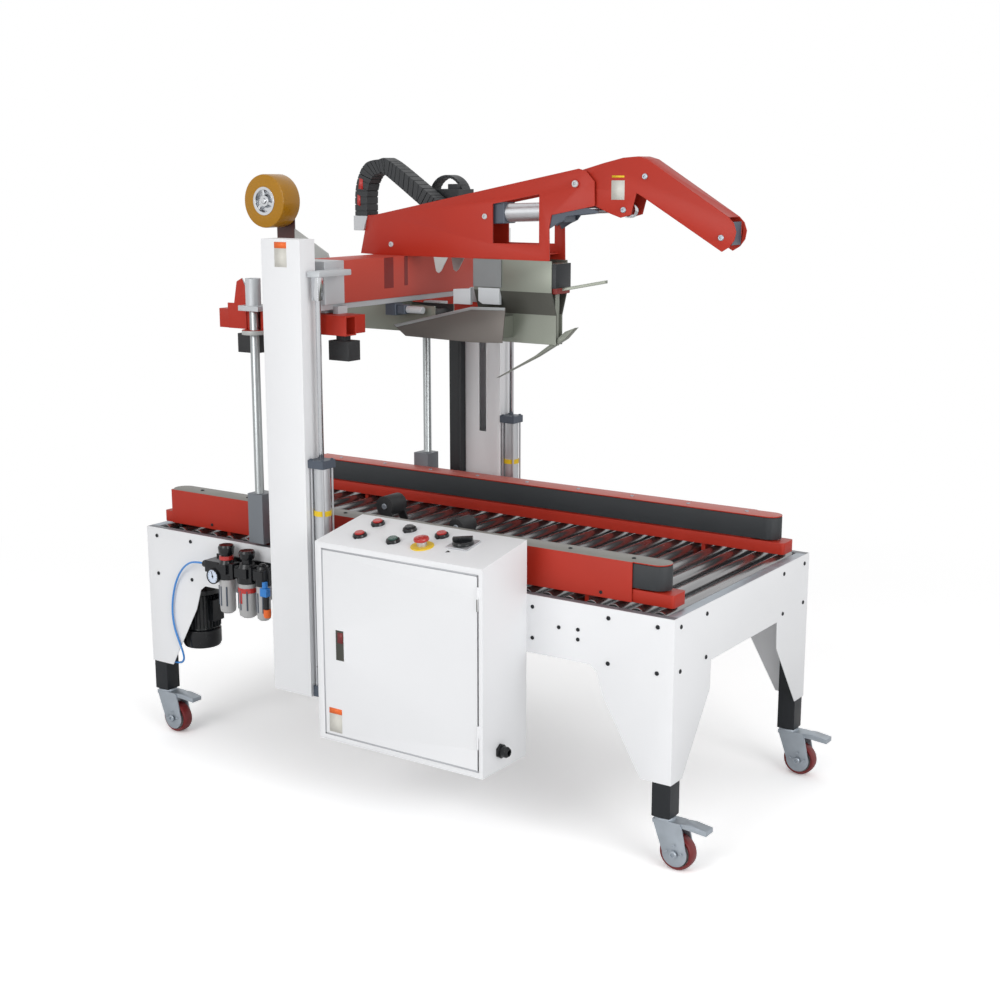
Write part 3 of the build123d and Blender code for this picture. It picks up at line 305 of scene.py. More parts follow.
class Solid:
    """Simple closed forms gathered into one mesh."""

    def __init__(self):
        self.mesh = bmesh.new()

    def box(self, low, high, place=Matrix.Identity(4)):
        """A box between two corners, in a place's own axes."""
        middle = (Vector(low) + Vector(high)) / 2
        size = Vector(high) - Vector(low)
        form = place @ Matrix.Translation(middle) @ Matrix.Diagonal((*size, 1))
        bmesh.ops.create_cube(self.mesh, size=1, matrix=form)
        return self

    def turned(self, place, profile, steps=32):
        """A profile of radius and height turned about a place's Z."""
        rings = []
        for radius, height in profile:
            count = steps if radius > 1e-6 else 1
            angles = [2 * math.pi * k / count for k in range(count)]
            spots = [Vector((radius * math.cos(a), radius * math.sin(a), height)) for a in angles]
            rings.append([self.mesh.verts.new(place @ spot) for spot in spots])
        for low, high in zip(rings, rings[1:]):
            for k in range(steps):
                n = (k + 1) % steps
                corners = [low[k % len(low)], low[n % len(low)], high[n % len(high)], high[k % len(high)]]
                corners = list(dict.fromkeys(corners))
                if len(corners) > 2:
                    self.mesh.faces.new(corners)
        return self

    def closed(self, place, half, steps):
        """A hollow turned form. Its profile is given below the place, and mirrored above it."""
        other = [(radius, -height) for radius, height in reversed(half)]
        return self.turned(place, [*half, *other, half[0]], steps)

    def drum(self, place, radius, start, end, steps=32):
        """A plain cylinder along a place's Z, between two heights."""
        return self.turned(place, [(0, start), (radius, start), (radius, end), (0, end)], steps)

    def rod(self, start, end, radius, steps=24):
        """A round bar between two points."""
        return self.drum(toward(start, end), radius, 0, (Vector(end) - Vector(start)).length, steps)

    def bolt(self, place, radius, height):
        """A round head with a socket in it."""
        socket = radius * 0.48
        profile = [(0, height * 0.35), (socket, height * 0.35), (socket, height), (radius * 0.82, height),
                   (radius, height * 0.6), (radius, 0), (0, 0)]
        return self.turned(place, profile, 14)

    def plate(self, outline, low, high):
        """An upright plate from its outline in X and Z."""
        near = [self.mesh.verts.new((x, low, z)) for x, z in outline]
        back = [self.mesh.verts.new((x, high, z)) for x, z in outline]
        self.mesh.faces.new(near)
        self.mesh.faces.new(list(reversed(back)))
        for k in range(len(outline)):
            n = (k + 1) % len(outline)
            self.mesh.faces.new([near[n], near[k], back[k], back[n]])
        return self

    def pair(self, outline, low, high):
        """The same upright plate on both sides of the middle plane."""
        return self.plate(outline, -high, -low).plate(outline, low, high)

    def piece(self, name, body, slot, look, bevel=0.0, replaces=()):
        """The gathered forms as one piece."""
        bmesh.ops.remove_doubles(self.mesh, verts=self.mesh.verts, dist=1e-6)
        bmesh.ops.recalc_face_normals(self.mesh, faces=self.mesh.faces)
        if not bevel:
            for edge in self.mesh.edges:
                if len(edge.link_faces) == 2 and edge.calc_face_angle() > crease:
                    edge.smooth = False
        mesh = bpy.data.meshes.new(name)
        self.mesh.to_mesh(mesh)
        self.mesh.free()
        made = add_piece(name, mesh, body, look, bevel)
        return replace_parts(made, *replaces) if replaces else made


def tag(name, body, slot, look, front, low, high, sunk=0.0002):
    """A thin plain tag on a face towards the operator, from its corners in X and Z."""
    proud = 0.0004
    thin = Solid().box((low[0], front - proud, low[1]), (high[0], front + sunk, high[1]))
    thin.piece(name, body, slot, look)


def table():
    """Sheet panels with their screws, posts, rails and end strips."""
    for node in ("side_panel_near", "side_panel_far", "end_panel_infeed", "end_panel_outfeed"):
        dress(node, WHITE, 0.001)
    dress("leg_posts", BLACK, 0.0025)
    dress("bed_frame", GREY, 0.0012)
    dress("bed_plates", ZINC, 0.0008)
    radius, small_radius, proud, flush = 0.0055, 0.005, 0.0024, 0.0002
    screws = Solid()
    for name, side, along in SIDES:
        for x in (-0.834, -0.697, 0.697, 0.831):
            for z in (0.607, 0.493):
                screws.bolt(at(x, side * side_y, z, along), radius, proud)
    for end, along, height in ((1, "X", proud), (-1, "-X", flush)):
        for y in (-0.362, -0.227, 0.227, 0.362):
            for z in (0.607, 0.497):
                screws.bolt(at(end * end_x, y, z, along), radius, height)
    for x, z in ((0.48, 0.601), (0.48, 0.521), (0.557, 0.561), (0.612, 0.564), (0.612, 0.539)):
        screws.bolt(at(x, -side_y, z, "-Y"), small_radius, proud)
    screws.piece("panel_screws", "base", "post_black", BLACK)


def rollers():
    """Bed rollers as tubes with recessed black bearings on hexagonal shafts, parted by the tape head."""
    low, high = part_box("bed_rollers")
    head_low, head_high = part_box("lower_tape_head")
    pitch = (high.x - low.x - 2 * roller_radius) / (roller_count - 1)
    centre_z = high.z - roller_radius
    shaft, shaft_radius = 0.004, 0.006
    wall = roller_radius - 0.0022
    shoulder, edge = roller_radius - 0.0006, 0.0008
    rim, recess = 0.002, 0.0012
    arm_room = 0.024
    reach = high.y - shaft
    head_gap = head_high.y + shaft
    tubes = Solid()
    bearings = Solid()
    shafts = Solid()
    for i in range(roller_count):
        x = low.x + roller_radius + i * pitch
        split = head_low.x - roller_radius < x < head_high.x + arm_room + roller_radius
        spans = ((-reach, -head_gap), (head_gap, reach)) if split else ((-reach, reach),)
        for start, end in spans:
            place = at(x, start, centre_z, "Y")
            length = end - start
            half = [(wall, rim), (wall, 0), (shoulder, 0), (roller_radius, edge)]
            tubes.turned(place, half + [(radius, length - height) for radius, height in reversed(half)], 30)
            bearings.drum(place, wall, recess, length - recess, 20)
            shafts.drum(place, shaft_radius, -shaft, length + shaft, 6)
    tubes.piece("roller_tubes", "base", "roller_zinc", ROLLER, replaces=("bed_rollers",))
    bearings.piece("roller_bearings", "base", "post_black", RUBBER)
    shafts.piece("roller_shafts", "base", "roller_zinc", ZINC)


def casters():
    """Zinc forks with brake pedals, and red wheels on grey hubs."""
    bore = 0.0063
    for corner in ("infeed_near", "infeed_far", "outfeed_near", "outfeed_far"):
        fork = "caster_fork_" + corner
        wheel = "caster_wheel_" + corner
        dress(fork, ZINC, 0.0016)
        low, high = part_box(wheel)
        middle = (low + high) / 2
        half = (high.y - low.y) / 2
        radius = (high.x - low.x) / 2
        place = at(middle.x, middle.y, middle.z, "Y")
        rim = radius * 0.8
        tread = Solid().closed(place, [(rim, -half * 0.92), (radius * 0.93, -half),
                                       (radius * 0.985, -half * 0.72), (radius, -half * 0.3)], 56)
        tread.piece(wheel + "_tread", "wheel_" + corner, "caster_tread", TREAD, replaces=(wheel,))
        hub = Solid().closed(place, [(bore, -half), (bore + 0.006, -half), (bore + 0.007, -half * 0.8),
                                     (rim * 0.55, -half * 0.35), (rim * 0.86, -half * 0.4),
                                     (rim, -half * 0.9)], 40)
        hub.piece(wheel + "_hub", "wheel_" + corner, "caster_zinc", CAST)
        fork_low, fork_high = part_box(fork)
        caps = Solid()
        for y, along in ((fork_low.y, "-Y"), (fork_high.y, "Y")):
            caps.bolt(at(middle.x, y, middle.z, along), 0.01, 0.005)
            for dx, dz in ((-0.02, 0.004), (0.02, 0.004), (0, 0.022)):
                caps.bolt(at(middle.x + dx, y, middle.z + dz, along), 0.0032, 0.0016)
        caps.piece(fork + "_axle_caps", "swivel_" + corner, "caster_zinc", ZINC)


def lower_head():
    """Lower tape head with its two roller arms."""
    dress("lower_tape_head", GREY, 0.0008)
    dress("lower_front_arm", RUBBER, 0.001)
    dress("lower_rear_arm", RUBBER, 0.001)
    for body, radius in (("front_arm", 0.025), ("rear_arm", 0.03)):
        node = "lower_" + body
        low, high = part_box(node)
        caps = Solid()
        for y, along in ((low.y, "-Y"), (high.y, "Y")):
            caps.bolt(at(low.x + radius, y, high.z - radius, along), 0.0085, 0.003)
        caps.piece(node + "_caps", body, "roller_zinc", ZINC)


def masts():
    """White hollow masts, with a blank tag on the near one, and the cable duct with its lid."""
    for name, side, along in SIDES:
        dress("mast_" + name, WHITE, 0.0028)
    dress("cable_duct", LINK, 0.003)
    low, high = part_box("cable_duct")
    count, end_gap, margin, lid_height = 7, 0.03, 0.006, 0.0012
    lid = Solid()
    for k in range(count):
        z = low.z + end_gap + k * (high.z - low.z - 2 * end_gap) / (count - 1)
        lid.bolt(at(low.x, (low.y + high.y) / 2, z, "-X"), 0.0045, 0.002)
    lid.box((low.x + margin, low.y - lid_height, low.z + 2 * margin),
            (high.x - margin, low.y + 0.0002, high.z - 2 * margin))
    lid.piece("duct_lid", "base", "chain_plastic", LINK, 0.0006)
    tag("mast_tag", "base", "panel_white", LABEL, mast_front_y, (-0.258, 1.414), (-0.217, 1.462))
    tag("mast_tag_band", "base", "machine_red", ORANGE, mast_front_y, (-0.258, 1.462), (-0.217, 1.478))


def lift_cylinders():
    """Round tubes between square caps, with tie rods and a yellow sensor band."""
    foot, cap = 0.03, 0.022
    tube_radius, tie_offset, tie_radius = 0.0218, 0.019, 0.003
    band_drop, band_height = 0.15, 0.014
    tubes = Solid()
    caps = Solid()
    bands = Solid()
    low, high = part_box("lift_cylinders")
    x = (low.x + high.x) / 2
    half = (high.x - low.x) / 2
    length = high.z - low.z - foot - cap
    for name, side, along in SIDES:
        y = side * (high.y - half)
        tubes.drum(at(x, y, low.z + foot), tube_radius, 0, length, 40)
        for dx in (-tie_offset, tie_offset):
            for dy in (-tie_offset, tie_offset):
                tubes.rod((x + dx, y + dy, low.z + foot), (x + dx, y + dy, high.z - cap), tie_radius, 10)
                caps.bolt(at(x + dx, y + dy, high.z), 0.0045, 0.003)
        caps.box((x - half, y - half, low.z), (x + half, y + half, low.z + foot))
        caps.box((x - half, y - half, high.z - cap), (x + half, y + half, high.z))
        bands.turned(at(x, y, high.z - band_drop),
                     [(0.0216, 0), (0.0232, 0), (0.0232, band_height), (0.0216, band_height)], 40)
    tubes.piece("lift_tubes", "base", "cylinder_aluminium", SILVER, replaces=("lift_cylinders",))
    caps.piece("lift_caps", "base", "motor_black", SLATE, 0.003)
    bands.piece("lift_sensor_bands", "base", "control_plastic", YELLOW)


def cabinet():
    """Control cabinet with its door, lock, blank tag and gland."""
    front = cabinet_front_y
    lock_face, lock_bottom = front - 0.003, 0.4
    dress("cabinet_shell", WHITE, 0.0022)
    dress("cabinet_door", WHITE, 0.0016,
          (BAND_SHADE_AND_LEVER, lambda centre, normal: centre.y < lock_face and centre.z > lock_bottom))
    low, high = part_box("cabinet_door")
    left, right = low.x, high.x - 0.0055
    # Pale strips fill the door's gap, painted as the gap's light shadow line
    gap_shadow = Solid()
    for x0, x1, z0, z1 in ((left - 0.0042, left - 0.0008, low.z - 0.004, high.z + 0.004),
                           (left - 0.004, right + 0.003, low.z - 0.0042, low.z - 0.0008),
                           (left - 0.004, right + 0.003, high.z + 0.0012, high.z + 0.0042)):
        gap_shadow.box((x0, front + 0.0012, z0), (x1, front + 0.008, z1))
    gap_shadow.piece("door_gap_shadow", "base", "panel_white", GAP_SHADOW_GREY)
    catch = Solid().box((0.0155, front - 0.0038, 0.477), (0.0325, front - 0.0026, 0.505))
    catch.piece("door_lock_catch", "door", "machine_red", TREAD)
    tag("door_tag", "door", "panel_white", LABEL, front, (-0.02, 0.232), (0.022, 0.282))
    tag("door_tag_band", "door", "machine_red", ORANGE, front, (-0.02, 0.282), (0.022, 0.297))
    gland_low, gland_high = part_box("cable_gland")
    centre = (gland_low + gland_high) / 2
    place = at(gland_low.x, centre.y, centre.z, "X")
    gland = Solid()
    gland.turned(place, [(0, 0), (0.019, 0), (0.019, 0.007), (0.0175, 0.008)], 6)
    gland.turned(place, [(0.0175, 0.008), (0.014, 0.008), (0.014, 0.022), (0.01, 0.028), (0.007, 0.028),
                         (0.007, 0.018), (0, 0.018)])
    gland.piece("gland_nut", "base", "control_plastic", GLOSS, 0.0006, replaces=("cable_gland",))


def panel_place(x, y):
    """A place on the cabinet's sloping top."""
    front_z, back_z, back_y = 0.735, 0.769, -side_y
    slope = (back_z - front_z) / (back_y - cabinet_front_y)
    height = front_z + slope * (y - cabinet_front_y)
    return Matrix.Translation((x, y, height)) @ Matrix.Rotation(math.atan(slope), 4, "X")


def controls():
    """Push buttons, emergency stop and main switch on the sloping top."""
    rims = Solid()
    buttons = {"red": Solid(), "black": Solid(), "green": Solid()}
    for x, y, colour in ((0.032, -0.44, "red"), (0.038, -0.522, "red"), (0.139, -0.445, "black"),
                         (0.145, -0.522, "green"), (0.244, -0.45, "red")):
        place = panel_place(x, y)
        rims.turned(place, [(0, 0), (0.0185, 0), (0.019, 0.002), (0.0172, 0.0075), (0.0135, 0.0085),
                            (0.013, 0.004), (0, 0.004)], 36)
        rims.box((-0.003, -0.0215, 0), (0.003, -0.0165, 0.0035), place)
        buttons[colour].turned(
            place, [(0, 0.003), (0.0126, 0.003), (0.0126, 0.0112), (0.0112, 0.0125), (0, 0.0125)], 36)
    rims.piece("button_rims", "base", "control_plastic", GLOSS, replaces=("panel_controls",))
    for colour, look in (("red", BUTTON_RED), ("black", GLOSS), ("green", BUTTON_GREEN)):
        buttons[colour].piece("buttons_" + colour, "base", "control_plastic", look)
    place = panel_place(0.236, -0.522)
    ring = Solid().turned(place, [(0, 0), (0.03, 0), (0.03, 0.002), (0.029, 0.003), (0, 0.003)], 44)
    ring.piece("stop_ring", "base", "control_plastic", YELLOW)
    collar = Solid().turned(place, [(0, 0.003), (0.013, 0.003), (0.0125, 0.016), (0, 0.016)], 36)
    collar.piece("stop_collar", "base", "cylinder_aluminium", SILVER)
    head = Solid().turned(place, [(0, 0.014), (0.014, 0.014), (0.0195, 0.017), (0.02, 0.02),
                                  (0.0185, 0.0238), (0.012, 0.0256), (0, 0.026)], 44)
    head.piece("stop_head", "base", "control_plastic", BUTTON_RED)
    place = panel_place(0.33, -0.478)
    knob_turn = -1.1
    base = Solid().box((-0.032, -0.032, 0), (0.032, 0.032, 0.004), place)
    base.piece("switch_plate", "base", "cylinder_aluminium", SILVER, 0.001)
    knob = Solid()
    knob.turned(place, [(0, 0.004), (0.0275, 0.004), (0.0275, 0.008), (0.0235, 0.013), (0, 0.013)], 44)
    knob.box((-0.0065, -0.0255, 0.012), (0.0065, 0.0255, 0.022),
             place @ Matrix.Rotation(knob_turn, 4, "Z"))
    knob.piece("switch_knob", "base", "control_plastic", GLOSS, 0.0016)
    mark = Solid().drum(place @ Matrix.Translation((-0.012, -0.05, 0)), 0.008, -0.0005, 0.0004, 3)
    mark.piece("switch_mark", "base", "control_plastic", GLOSS)


def air_unit():
    """Black filter and regulator bodies with ribbed knobs and a red lock ring."""
    y = air_y
    bodies = Solid()
    bodies.box((-0.59, -0.401, 0.528), (-0.363, -side_y, air_high))
    bodies.box((-0.588, y - 0.019, 0.546), (-0.366, -0.401, 0.58))
    for x, radius in air_stations:
        bodies.turned(at(x, y, air_low - 0.006),
                      [(0, 0), (radius + 0.001, 0), (radius + 0.002, 0.014), (radius, 0.042),
                       (radius * 0.75, 0.056), (0, 0.056)])
        bodies.box((x - radius * 0.8, y - radius - 0.002, 0.55), (x + radius * 0.8, y, 0.576))
    for x in (-0.482, -0.412):
        bodies.box((x - 0.006, y - 0.024, 0.54), (x + 0.006, y + 0.01, 0.584))
    bodies.turned(at(-0.384, y, air_high - 0.006),
                  [(0, 0), (0.011, 0), (0.011, 0.01), (0.007, 0.013), (0, 0.013)], 6)
    bodies.turned(at(-0.612, y, 0.563, "X"),
                  [(0, 0), (0.006, 0), (0.01, 0.004), (0.01, 0.014), (0.012, 0.014), (0.012, 0.024),
                   (0, 0.024)], 24)
    bodies.piece("air_bodies", "base", "air_unit", GLOSS, 0.0025, replaces=("air_service_unit",))
    knobs = Solid()
    for x, base, top in ((-0.52, 0.602, 0.63), (-0.442, 0.6, 0.624)):
        height = top - base
        knobs.rod((x, y, air_high - 0.004), (x, y, base), 0.015)
        knobs.turned(at(x, y, base),
                     [(0, 0), (0.019, 0), (0.0215, 0.004), (0.0235, height * 0.75), (0.0205, height),
                      (0.012, height - 0.003), (0, height - 0.003)], 14)
    knobs.piece("air_knobs", "base", "air_unit", GLOSS)
    ring = Solid().drum(at(-0.52, y, air_high), 0.0205, 0, 0.011)
    ring.piece("air_lock_ring", "base", "machine_red", BUTTON_RED, 0.001)


def air_bowls():
    """Guarded bowls with slits, one of them with a red lock."""
    slit_share, slit_radius = 0.95, 0.0024
    slit_low, slit_high = bowl_bottom + 0.024, bowl_bottom + 0.08
    height = air_low - 0.004 - bowl_bottom
    bowls = Solid()
    slits = Solid()
    for x, radius in air_stations:
        bowls.turned(at(x, air_y, bowl_bottom),
                     [(0, 0), (radius * 0.6, 0), (radius * 0.9, 0.006), (radius * 0.97, 0.016),
                      (radius * 0.97, height), (0, height)], 12)
        for turn in (-142, -98, -54):
            angle = math.radians(turn)
            slit_x = x + radius * slit_share * math.cos(angle)
            slit_y = air_y + radius * slit_share * math.sin(angle)
            slits.rod((slit_x, slit_y, slit_low), (slit_x, slit_y, slit_high), slit_radius, 8)
    bowls.piece("air_bowls", "base", "air_unit", BOWL)
    slits.piece("air_bowl_slits", "base", "air_unit", SLATE)
    lock = Solid().turned(at(-0.442, air_y, 0.506),
                          [(0.0255, 0), (0.028, 0), (0.028, 0.014), (0.0255, 0.014)])
    lock.box((-0.45, air_y - 0.0282, 0.476), (-0.44, air_y - 0.02, 0.508))
    lock.piece("air_bowl_lock", "base", "machine_red", BUTTON_RED, 0.0008)


def air_gauge():
    """Round gauge with ticks and a hand, and no figures."""
    face = at(-0.548, air_y - 0.018, air_low + 0.002, "-Y")
    rim = Solid().turned(face, [(0, 0), (0.021, 0), (0.0225, 0.01), (0.022, 0.0135), (0.0195, 0.014),
                                (0.019, 0.011), (0, 0.011)], 40)
    rim.piece("gauge_rim", "base", "air_unit", GLOSS)
    dial_radius, dial_top, hand_turn = 0.019, 0.0118, 0.25
    tick_count, first_tick, tick_step = 11, -135, 27
    dial = Solid().drum(face, dial_radius, 0.0108, dial_top, 40)
    dial.piece("gauge_dial", "base", "air_unit", DIAL)
    hand = Solid().box((-0.0011, -0.006, dial_top), (0.0011, 0.014, 0.0124),
                       face @ Matrix.Rotation(hand_turn, 4, "Z"))
    hand.drum(face, 0.003, dial_top, 0.0128, 16)
    for k in range(tick_count):
        tick = spun(face, first_tick + tick_step * k)
        hand.box((-0.0004, 0.0145, dial_top), (0.0004, 0.0175, 0.0121), tick)
    hand.piece("gauge_hand", "base", "air_unit", GLOSS)


def air_fittings():
    """Blue fitting, elbow and exhaust cap on the last bowl, and the hose's nipple on the leg post."""
    y = air_y - 0.013
    fitting = Solid().box((-0.378, air_y - 0.022, 0.506), (-0.354, air_y - 0.004, 0.53))
    fitting.rod((-0.366, y, 0.53), (-0.366, y, 0.548), 0.008)
    fitting.piece("air_fitting", "base", "air_unit", BLUE, 0.0015)
    elbow = Solid().rod((-0.362, y, 0.507), (-0.362, y, 0.47), 0.0085)
    elbow.piece("air_elbow", "base", "air_unit", GLOSS, 0.001)
    cap = Solid().turned(at(-0.36, y, 0.446),
                         [(0, 0), (0.0085, 0), (0.0105, 0.006), (0.0105, 0.024), (0, 0.024)], 20)
    cap.piece("air_exhaust", "base", "machine_red", ORANGE, 0.001)
    dress("hose_fitting", CHROME, 0.0008)


def air_hose():
    """Blue air hose from the unit's inlet round the leg's edge to the nipple on the post behind it."""
    route = [(-0.612, -0.432, 0.563), (-0.642, -0.432, 0.563), (-0.682, -0.422, 0.551),
             (-0.722, -0.411, 0.524), (-0.754, -0.404, 0.483), (-0.772, -0.402, 0.434),
             (-0.778, -0.402, 0.384), (-0.771, -0.402, 0.336), (-0.756, -0.4, 0.296),
             (-0.745, -0.396, 0.262), (-0.751, -0.388, 0.237), (-0.773, -0.382, 0.222),
             (-0.8, -0.382, 0.222)]
    line = bpy.data.curves.new("air_hose_line", "CURVE")
    line.dimensions = "3D"
    line.bevel_depth = 0.003
    line.bevel_resolution = 5
    line.resolution_u = 16
    line.use_fill_caps = True
    spline = line.splines.new("NURBS")
    spline.points.add(len(route) - 1)
    for point, place in zip(spline.points, route):
        point.co = (*place, 1)
    spline.order_u = 3
    spline.use_endpoint_u = True
    line.materials.append(HOSE)
    hose = add_object("air_hose_line", line)
    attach(hose, "base")
    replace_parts(hose, "air_hose")


def belts():
    """Two side belt units with their covers, motors and guide columns."""
    bracket_top, screw_z = 0.784, 0.655
    for name, side, along in SIDES:
        body = "belt_" + name
        top_sheen_look, screw_look = (GLARE_GREY, BLACK) if side < 0 else (SHEEN_PINK, ZINC)
        dress("belt_base_" + name, RED, 0.0014)
        dress("belt_loop_" + name, BELT, 0.001)
        dress("belt_pulleys_" + name, SILVER, 0.0008)
        # The covers' top faces take a lighter, greyer red than their sides: painted sheen
        dress("belt_cover_" + name, RED, 0.0012, (top_sheen_look, lambda centre, normal: normal.z > 0.9))
        low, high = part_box("belt_cover_" + name)
        screws = Solid()
        for k in range(9):
            screws.bolt(at(-0.72 + k * 0.18, side * belt_y, high.z), 0.0055, 0.0022)
        screws.piece("belt_top_screws_" + name, body, "roller_zinc", screw_look)
        heads = Solid()
        face_y = low.y if side < 0 else high.y
        for k in range(6):
            heads.bolt(at(-0.65 + k * 0.26, face_y, screw_z, along), 0.0045, 0.002)
        heads.piece("belt_screws_" + name, body, "post_black", BLACK)
        motor(name, side)
        dress("belt_column_" + name, GROUND, 0.0012, (GREY, lambda centre, normal: centre.z < bracket_top))


def motor(name, side):
    """Gear motor with a ribbed body, a fan cowl, a terminal box and a square gearbox."""
    body = "belt_" + name
    low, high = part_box("belt_motor_" + name)
    x, y, radius = -0.744, side * belt_y, 0.057
    shaft_x, slot_count, rib_count = -0.7904, 16, 28
    gear_low, gear_high = Vector((low.x, y - 0.033, 0.457)), Vector((-0.704, y + 0.033, 0.56))
    shell = Solid()
    shell.turned(at(x, y, low.z),
                 [(0, 0.004), (radius * 0.7, 0.004), (radius * 0.74, 0), (radius * 0.92, 0),
                  (radius, 0.01), (radius, 0.052), (radius * 0.9, 0.056), (radius * 0.88, 0.06),
                  (radius * 0.88, 0.158), (radius, 0.162), (radius, 0.176), (radius * 0.8, 0.186),
                  (0, 0.186)], 48)
    shell.box((x + radius * 0.8, y - 0.022, low.z + 0.085), (x + radius + 0.014, y + 0.022, low.z + 0.15))
    for k in range(slot_count):
        shell.box((radius * 0.25, -0.0015, -0.001), (radius * 0.66, 0.0015, 0.004),
                  spun(at(x, y, low.z + 0.001), 360 * k / slot_count))
    shell.box(gear_low, gear_high)
    shell.box((shaft_x - 0.006, y - 0.024, gear_high.z), (shaft_x + 0.006, y + 0.024, high.z))
    shell.piece("motor_shell_" + name, body, "motor_black", GLOSS, 0.0012, replaces=("belt_motor_" + name,))
    ribs = Solid()
    for k in range(rib_count):
        ribs.box((radius * 0.85, -0.0012, 0), (radius * 0.995, 0.0012, 0.098),
                 spun(at(x, y, low.z + 0.06), 360 * k / rib_count))
    ribs.piece("motor_ribs_" + name, body, "motor_black", BLACK)
    bolts = Solid()
    for face_y, along in ((gear_low.y, "-Y"), (gear_high.y, "Y")):
        for bolt_x in (gear_low.x + 0.012, gear_high.x - 0.012):
            for z in (gear_low.z + 0.014, gear_high.z - 0.014):
                bolts.bolt(at(bolt_x, face_y, z, along), 0.0045, 0.0025)
    bolts.piece("gearbox_bolts_" + name, body, "roller_zinc", ZINC)


def near_axis(centre, x, z, reach):
    """Whether a place is close to an axis across the machine."""
    return math.hypot(centre.x - x, centre.z - z) < reach


def head():
    """Crossbeam with its end brackets, rods, arm, flap plates and tape head."""
    shade_band_low, shade_band_high, nose_x, rail_y = 1.283, 1.34, 0.3065, 0.05
    # The crossbeam takes the copy of the red that is toned as painted shade
    dress("crossbeam", SHADED_BEAM_RED, 0.002)
    dress("beam_ends", PALE, 0.0018)
    dress("lift_rods", CHROME, 0.0006)
    dress("folding_arm", RED, 0.001)
    # The plates' sloped band between these heights takes a darker finish: painted shade
    dress("fold_plates", PLATE, 0.0008, (BAND_SHADE_AND_LEVER, lambda centre, normal: shade_band_low < centre.z < shade_band_high),
          (BLACK, lambda centre, normal: centre.x > nose_x))
    dress("ploughs", PLOUGH, 0.0006, (PLATE, lambda centre, normal: abs(centre.y) < rail_y))
    low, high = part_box("upper_tape_head")

    def wiper(roller_x):
        return lambda centre, normal: near_axis(centre, roller_x, 1.256, 0.024) and abs(centre.y) < 0.043

    def spindle(centre, normal):
        return near_axis(centre, tape_centre.x, tape_centre.z, 0.009)

    dress("upper_tape_head", PLATE, 0.001, (RUBBER, wiper(low.x + 0.142)), (RUBBER, wiper(high.x - 0.03)),
          (CHROME, spindle))
    post = Solid().box((-0.7222, 0.0417, 1.4), (-0.6528, 0.0463, 1.5898))
    post.piece("tape_post", "head", "plate_steel", POST, 0.0008)
    gusset = Solid().plate([(-0.6528, 1.4), (-0.6528, 1.4862), (-0.526, 1.4172), (-0.5198, 1.4)],
                           0.0417, 0.0463)
    gusset.piece("tape_gusset", "head", "bracket_cast", CAST, 0.0008)
    bolts = Solid()
    for name, side, along in SIDES:
        for x, z in ((-0.224, 1.455), (0.094, 1.537)):
            bolts.bolt(at(x, side * 0.04, z, along), 0.0075, 0.004)
        bolts.bolt(at(0.378, side * 0.044, 1.624, along), 0.009, 0.005)
    bolts.piece("arm_bolts", "head", "roller_zinc", PALE)
    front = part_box("crossbeam")[1].x
    # Thin dark red strips on the beam's end face, painted as the shade in its recesses
    strips = Solid()
    for left, right, bottom in ((-0.136, -0.095, 1.34), (-0.046, -0.03, 1.343)):
        strips.box((front - 0.0003, left, bottom), (front + 0.0008, right, 1.4235))
    strips.piece("beam_recess_shade_strips", "head", "machine_red", DARK_RED, 0.0006)


def plate_details():
    """Tabs, clamps and sliders where the arm and the flap plates meet the beam."""
    tabs = Solid().pair([(-0.076, 1.4245), (-0.028, 1.4245), (-0.05, 1.388), (-0.059, 1.381),
                         (-0.068, 1.386)], 0.0398, 0.0422)
    tabs.piece("arm_tabs", "head", "bracket_cast", CAST, 0.0006)
    clamps = Solid().pair([(0.0572, 1.424), (0.148, 1.424), (0.148, 1.35), (0.0572, 1.35)], 0.0396, 0.0436)
    clamps.piece("plate_clamps", "head", "plate_steel", CLAMP, 0.0008)
    sliders = Solid()
    for outline in ([(0.074, 1.348), (0.143, 1.348), (0.143, 1.304), (0.088, 1.304), (0.074, 1.312)],
                    [(-0.009, 1.34), (0.048, 1.344), (0.048, 1.3), (-0.009, 1.3)]):
        sliders.pair(outline, 0.033, 0.044)
    sliders.piece("plate_sliders", "head", "bracket_cast", PALE, 0.001)
    hook = Solid().box((0.29, -0.034, 1.3385), (0.3178, 0.034, 1.3545))
    hook.piece("fold_hook", "head", "machine_red", DARK_RED, 0.002)
    lips = Solid().pair([(-0.186, 1.2365), (0.078, 1.2985), (0.187, 1.3015), (0.186, 1.2935),
                         (0.079, 1.2905), (-0.176, 1.23)], 0.0795, 0.083)
    lips.piece("plough_lips", "head", "plate_steel", GROUND, 0.0012)
    bracket = Solid().pair([(0.272, 1.512), (0.272, 1.55), (0.3, 1.556), (0.4, 1.566), (0.444, 1.556),
                            (0.44, 1.551), (0.348, 1.542), (0.339, 1.53), (0.318, 1.521), (0.29, 1.505),
                            (0.283, 1.517)], 0.0333, 0.0369)
    bracket.piece("arm_nose_bracket", "head", "motor_black", SLATE, 0.001)
    slides = Solid().box((-0.215, -0.084, 1.262), (-0.178, -0.048, 1.2955))
    slides.box((-0.177, -0.08, 1.266), (-0.15, -0.05, 1.292))
    slides.piece("rail_blocks", "head", "motor_black", SLATE, 0.003)
    tube = Solid().rod((-0.15, -0.065, 1.279), (-0.096, -0.065, 1.279), 0.01)
    tube.box((-0.18, 0.048, 1.25), (-0.12, 0.084, 1.294))
    tube.piece("rail_cylinder", "head", "bracket_cast", PALE, 0.0012)


def smooth(points, pitch):
    """A smooth line through points, as places about one pitch apart."""
    places = [Vector(point) for point in points]
    ends = [places[0], *places, places[-1]]
    line = []
    for before, start, end, after in zip(ends, ends[1:], ends[2:], ends[3:]):
        count = max(2, round((end - start).length / pitch))
        for k in range(count):
            t = k / count
            line.append(0.5 * (2 * start + (end - before) * t
                               + (2 * before - 5 * start + 4 * end - after) * t ** 2
                               + (3 * start - before - 3 * end + after) * t ** 3))
    return [*line, places[-1]]


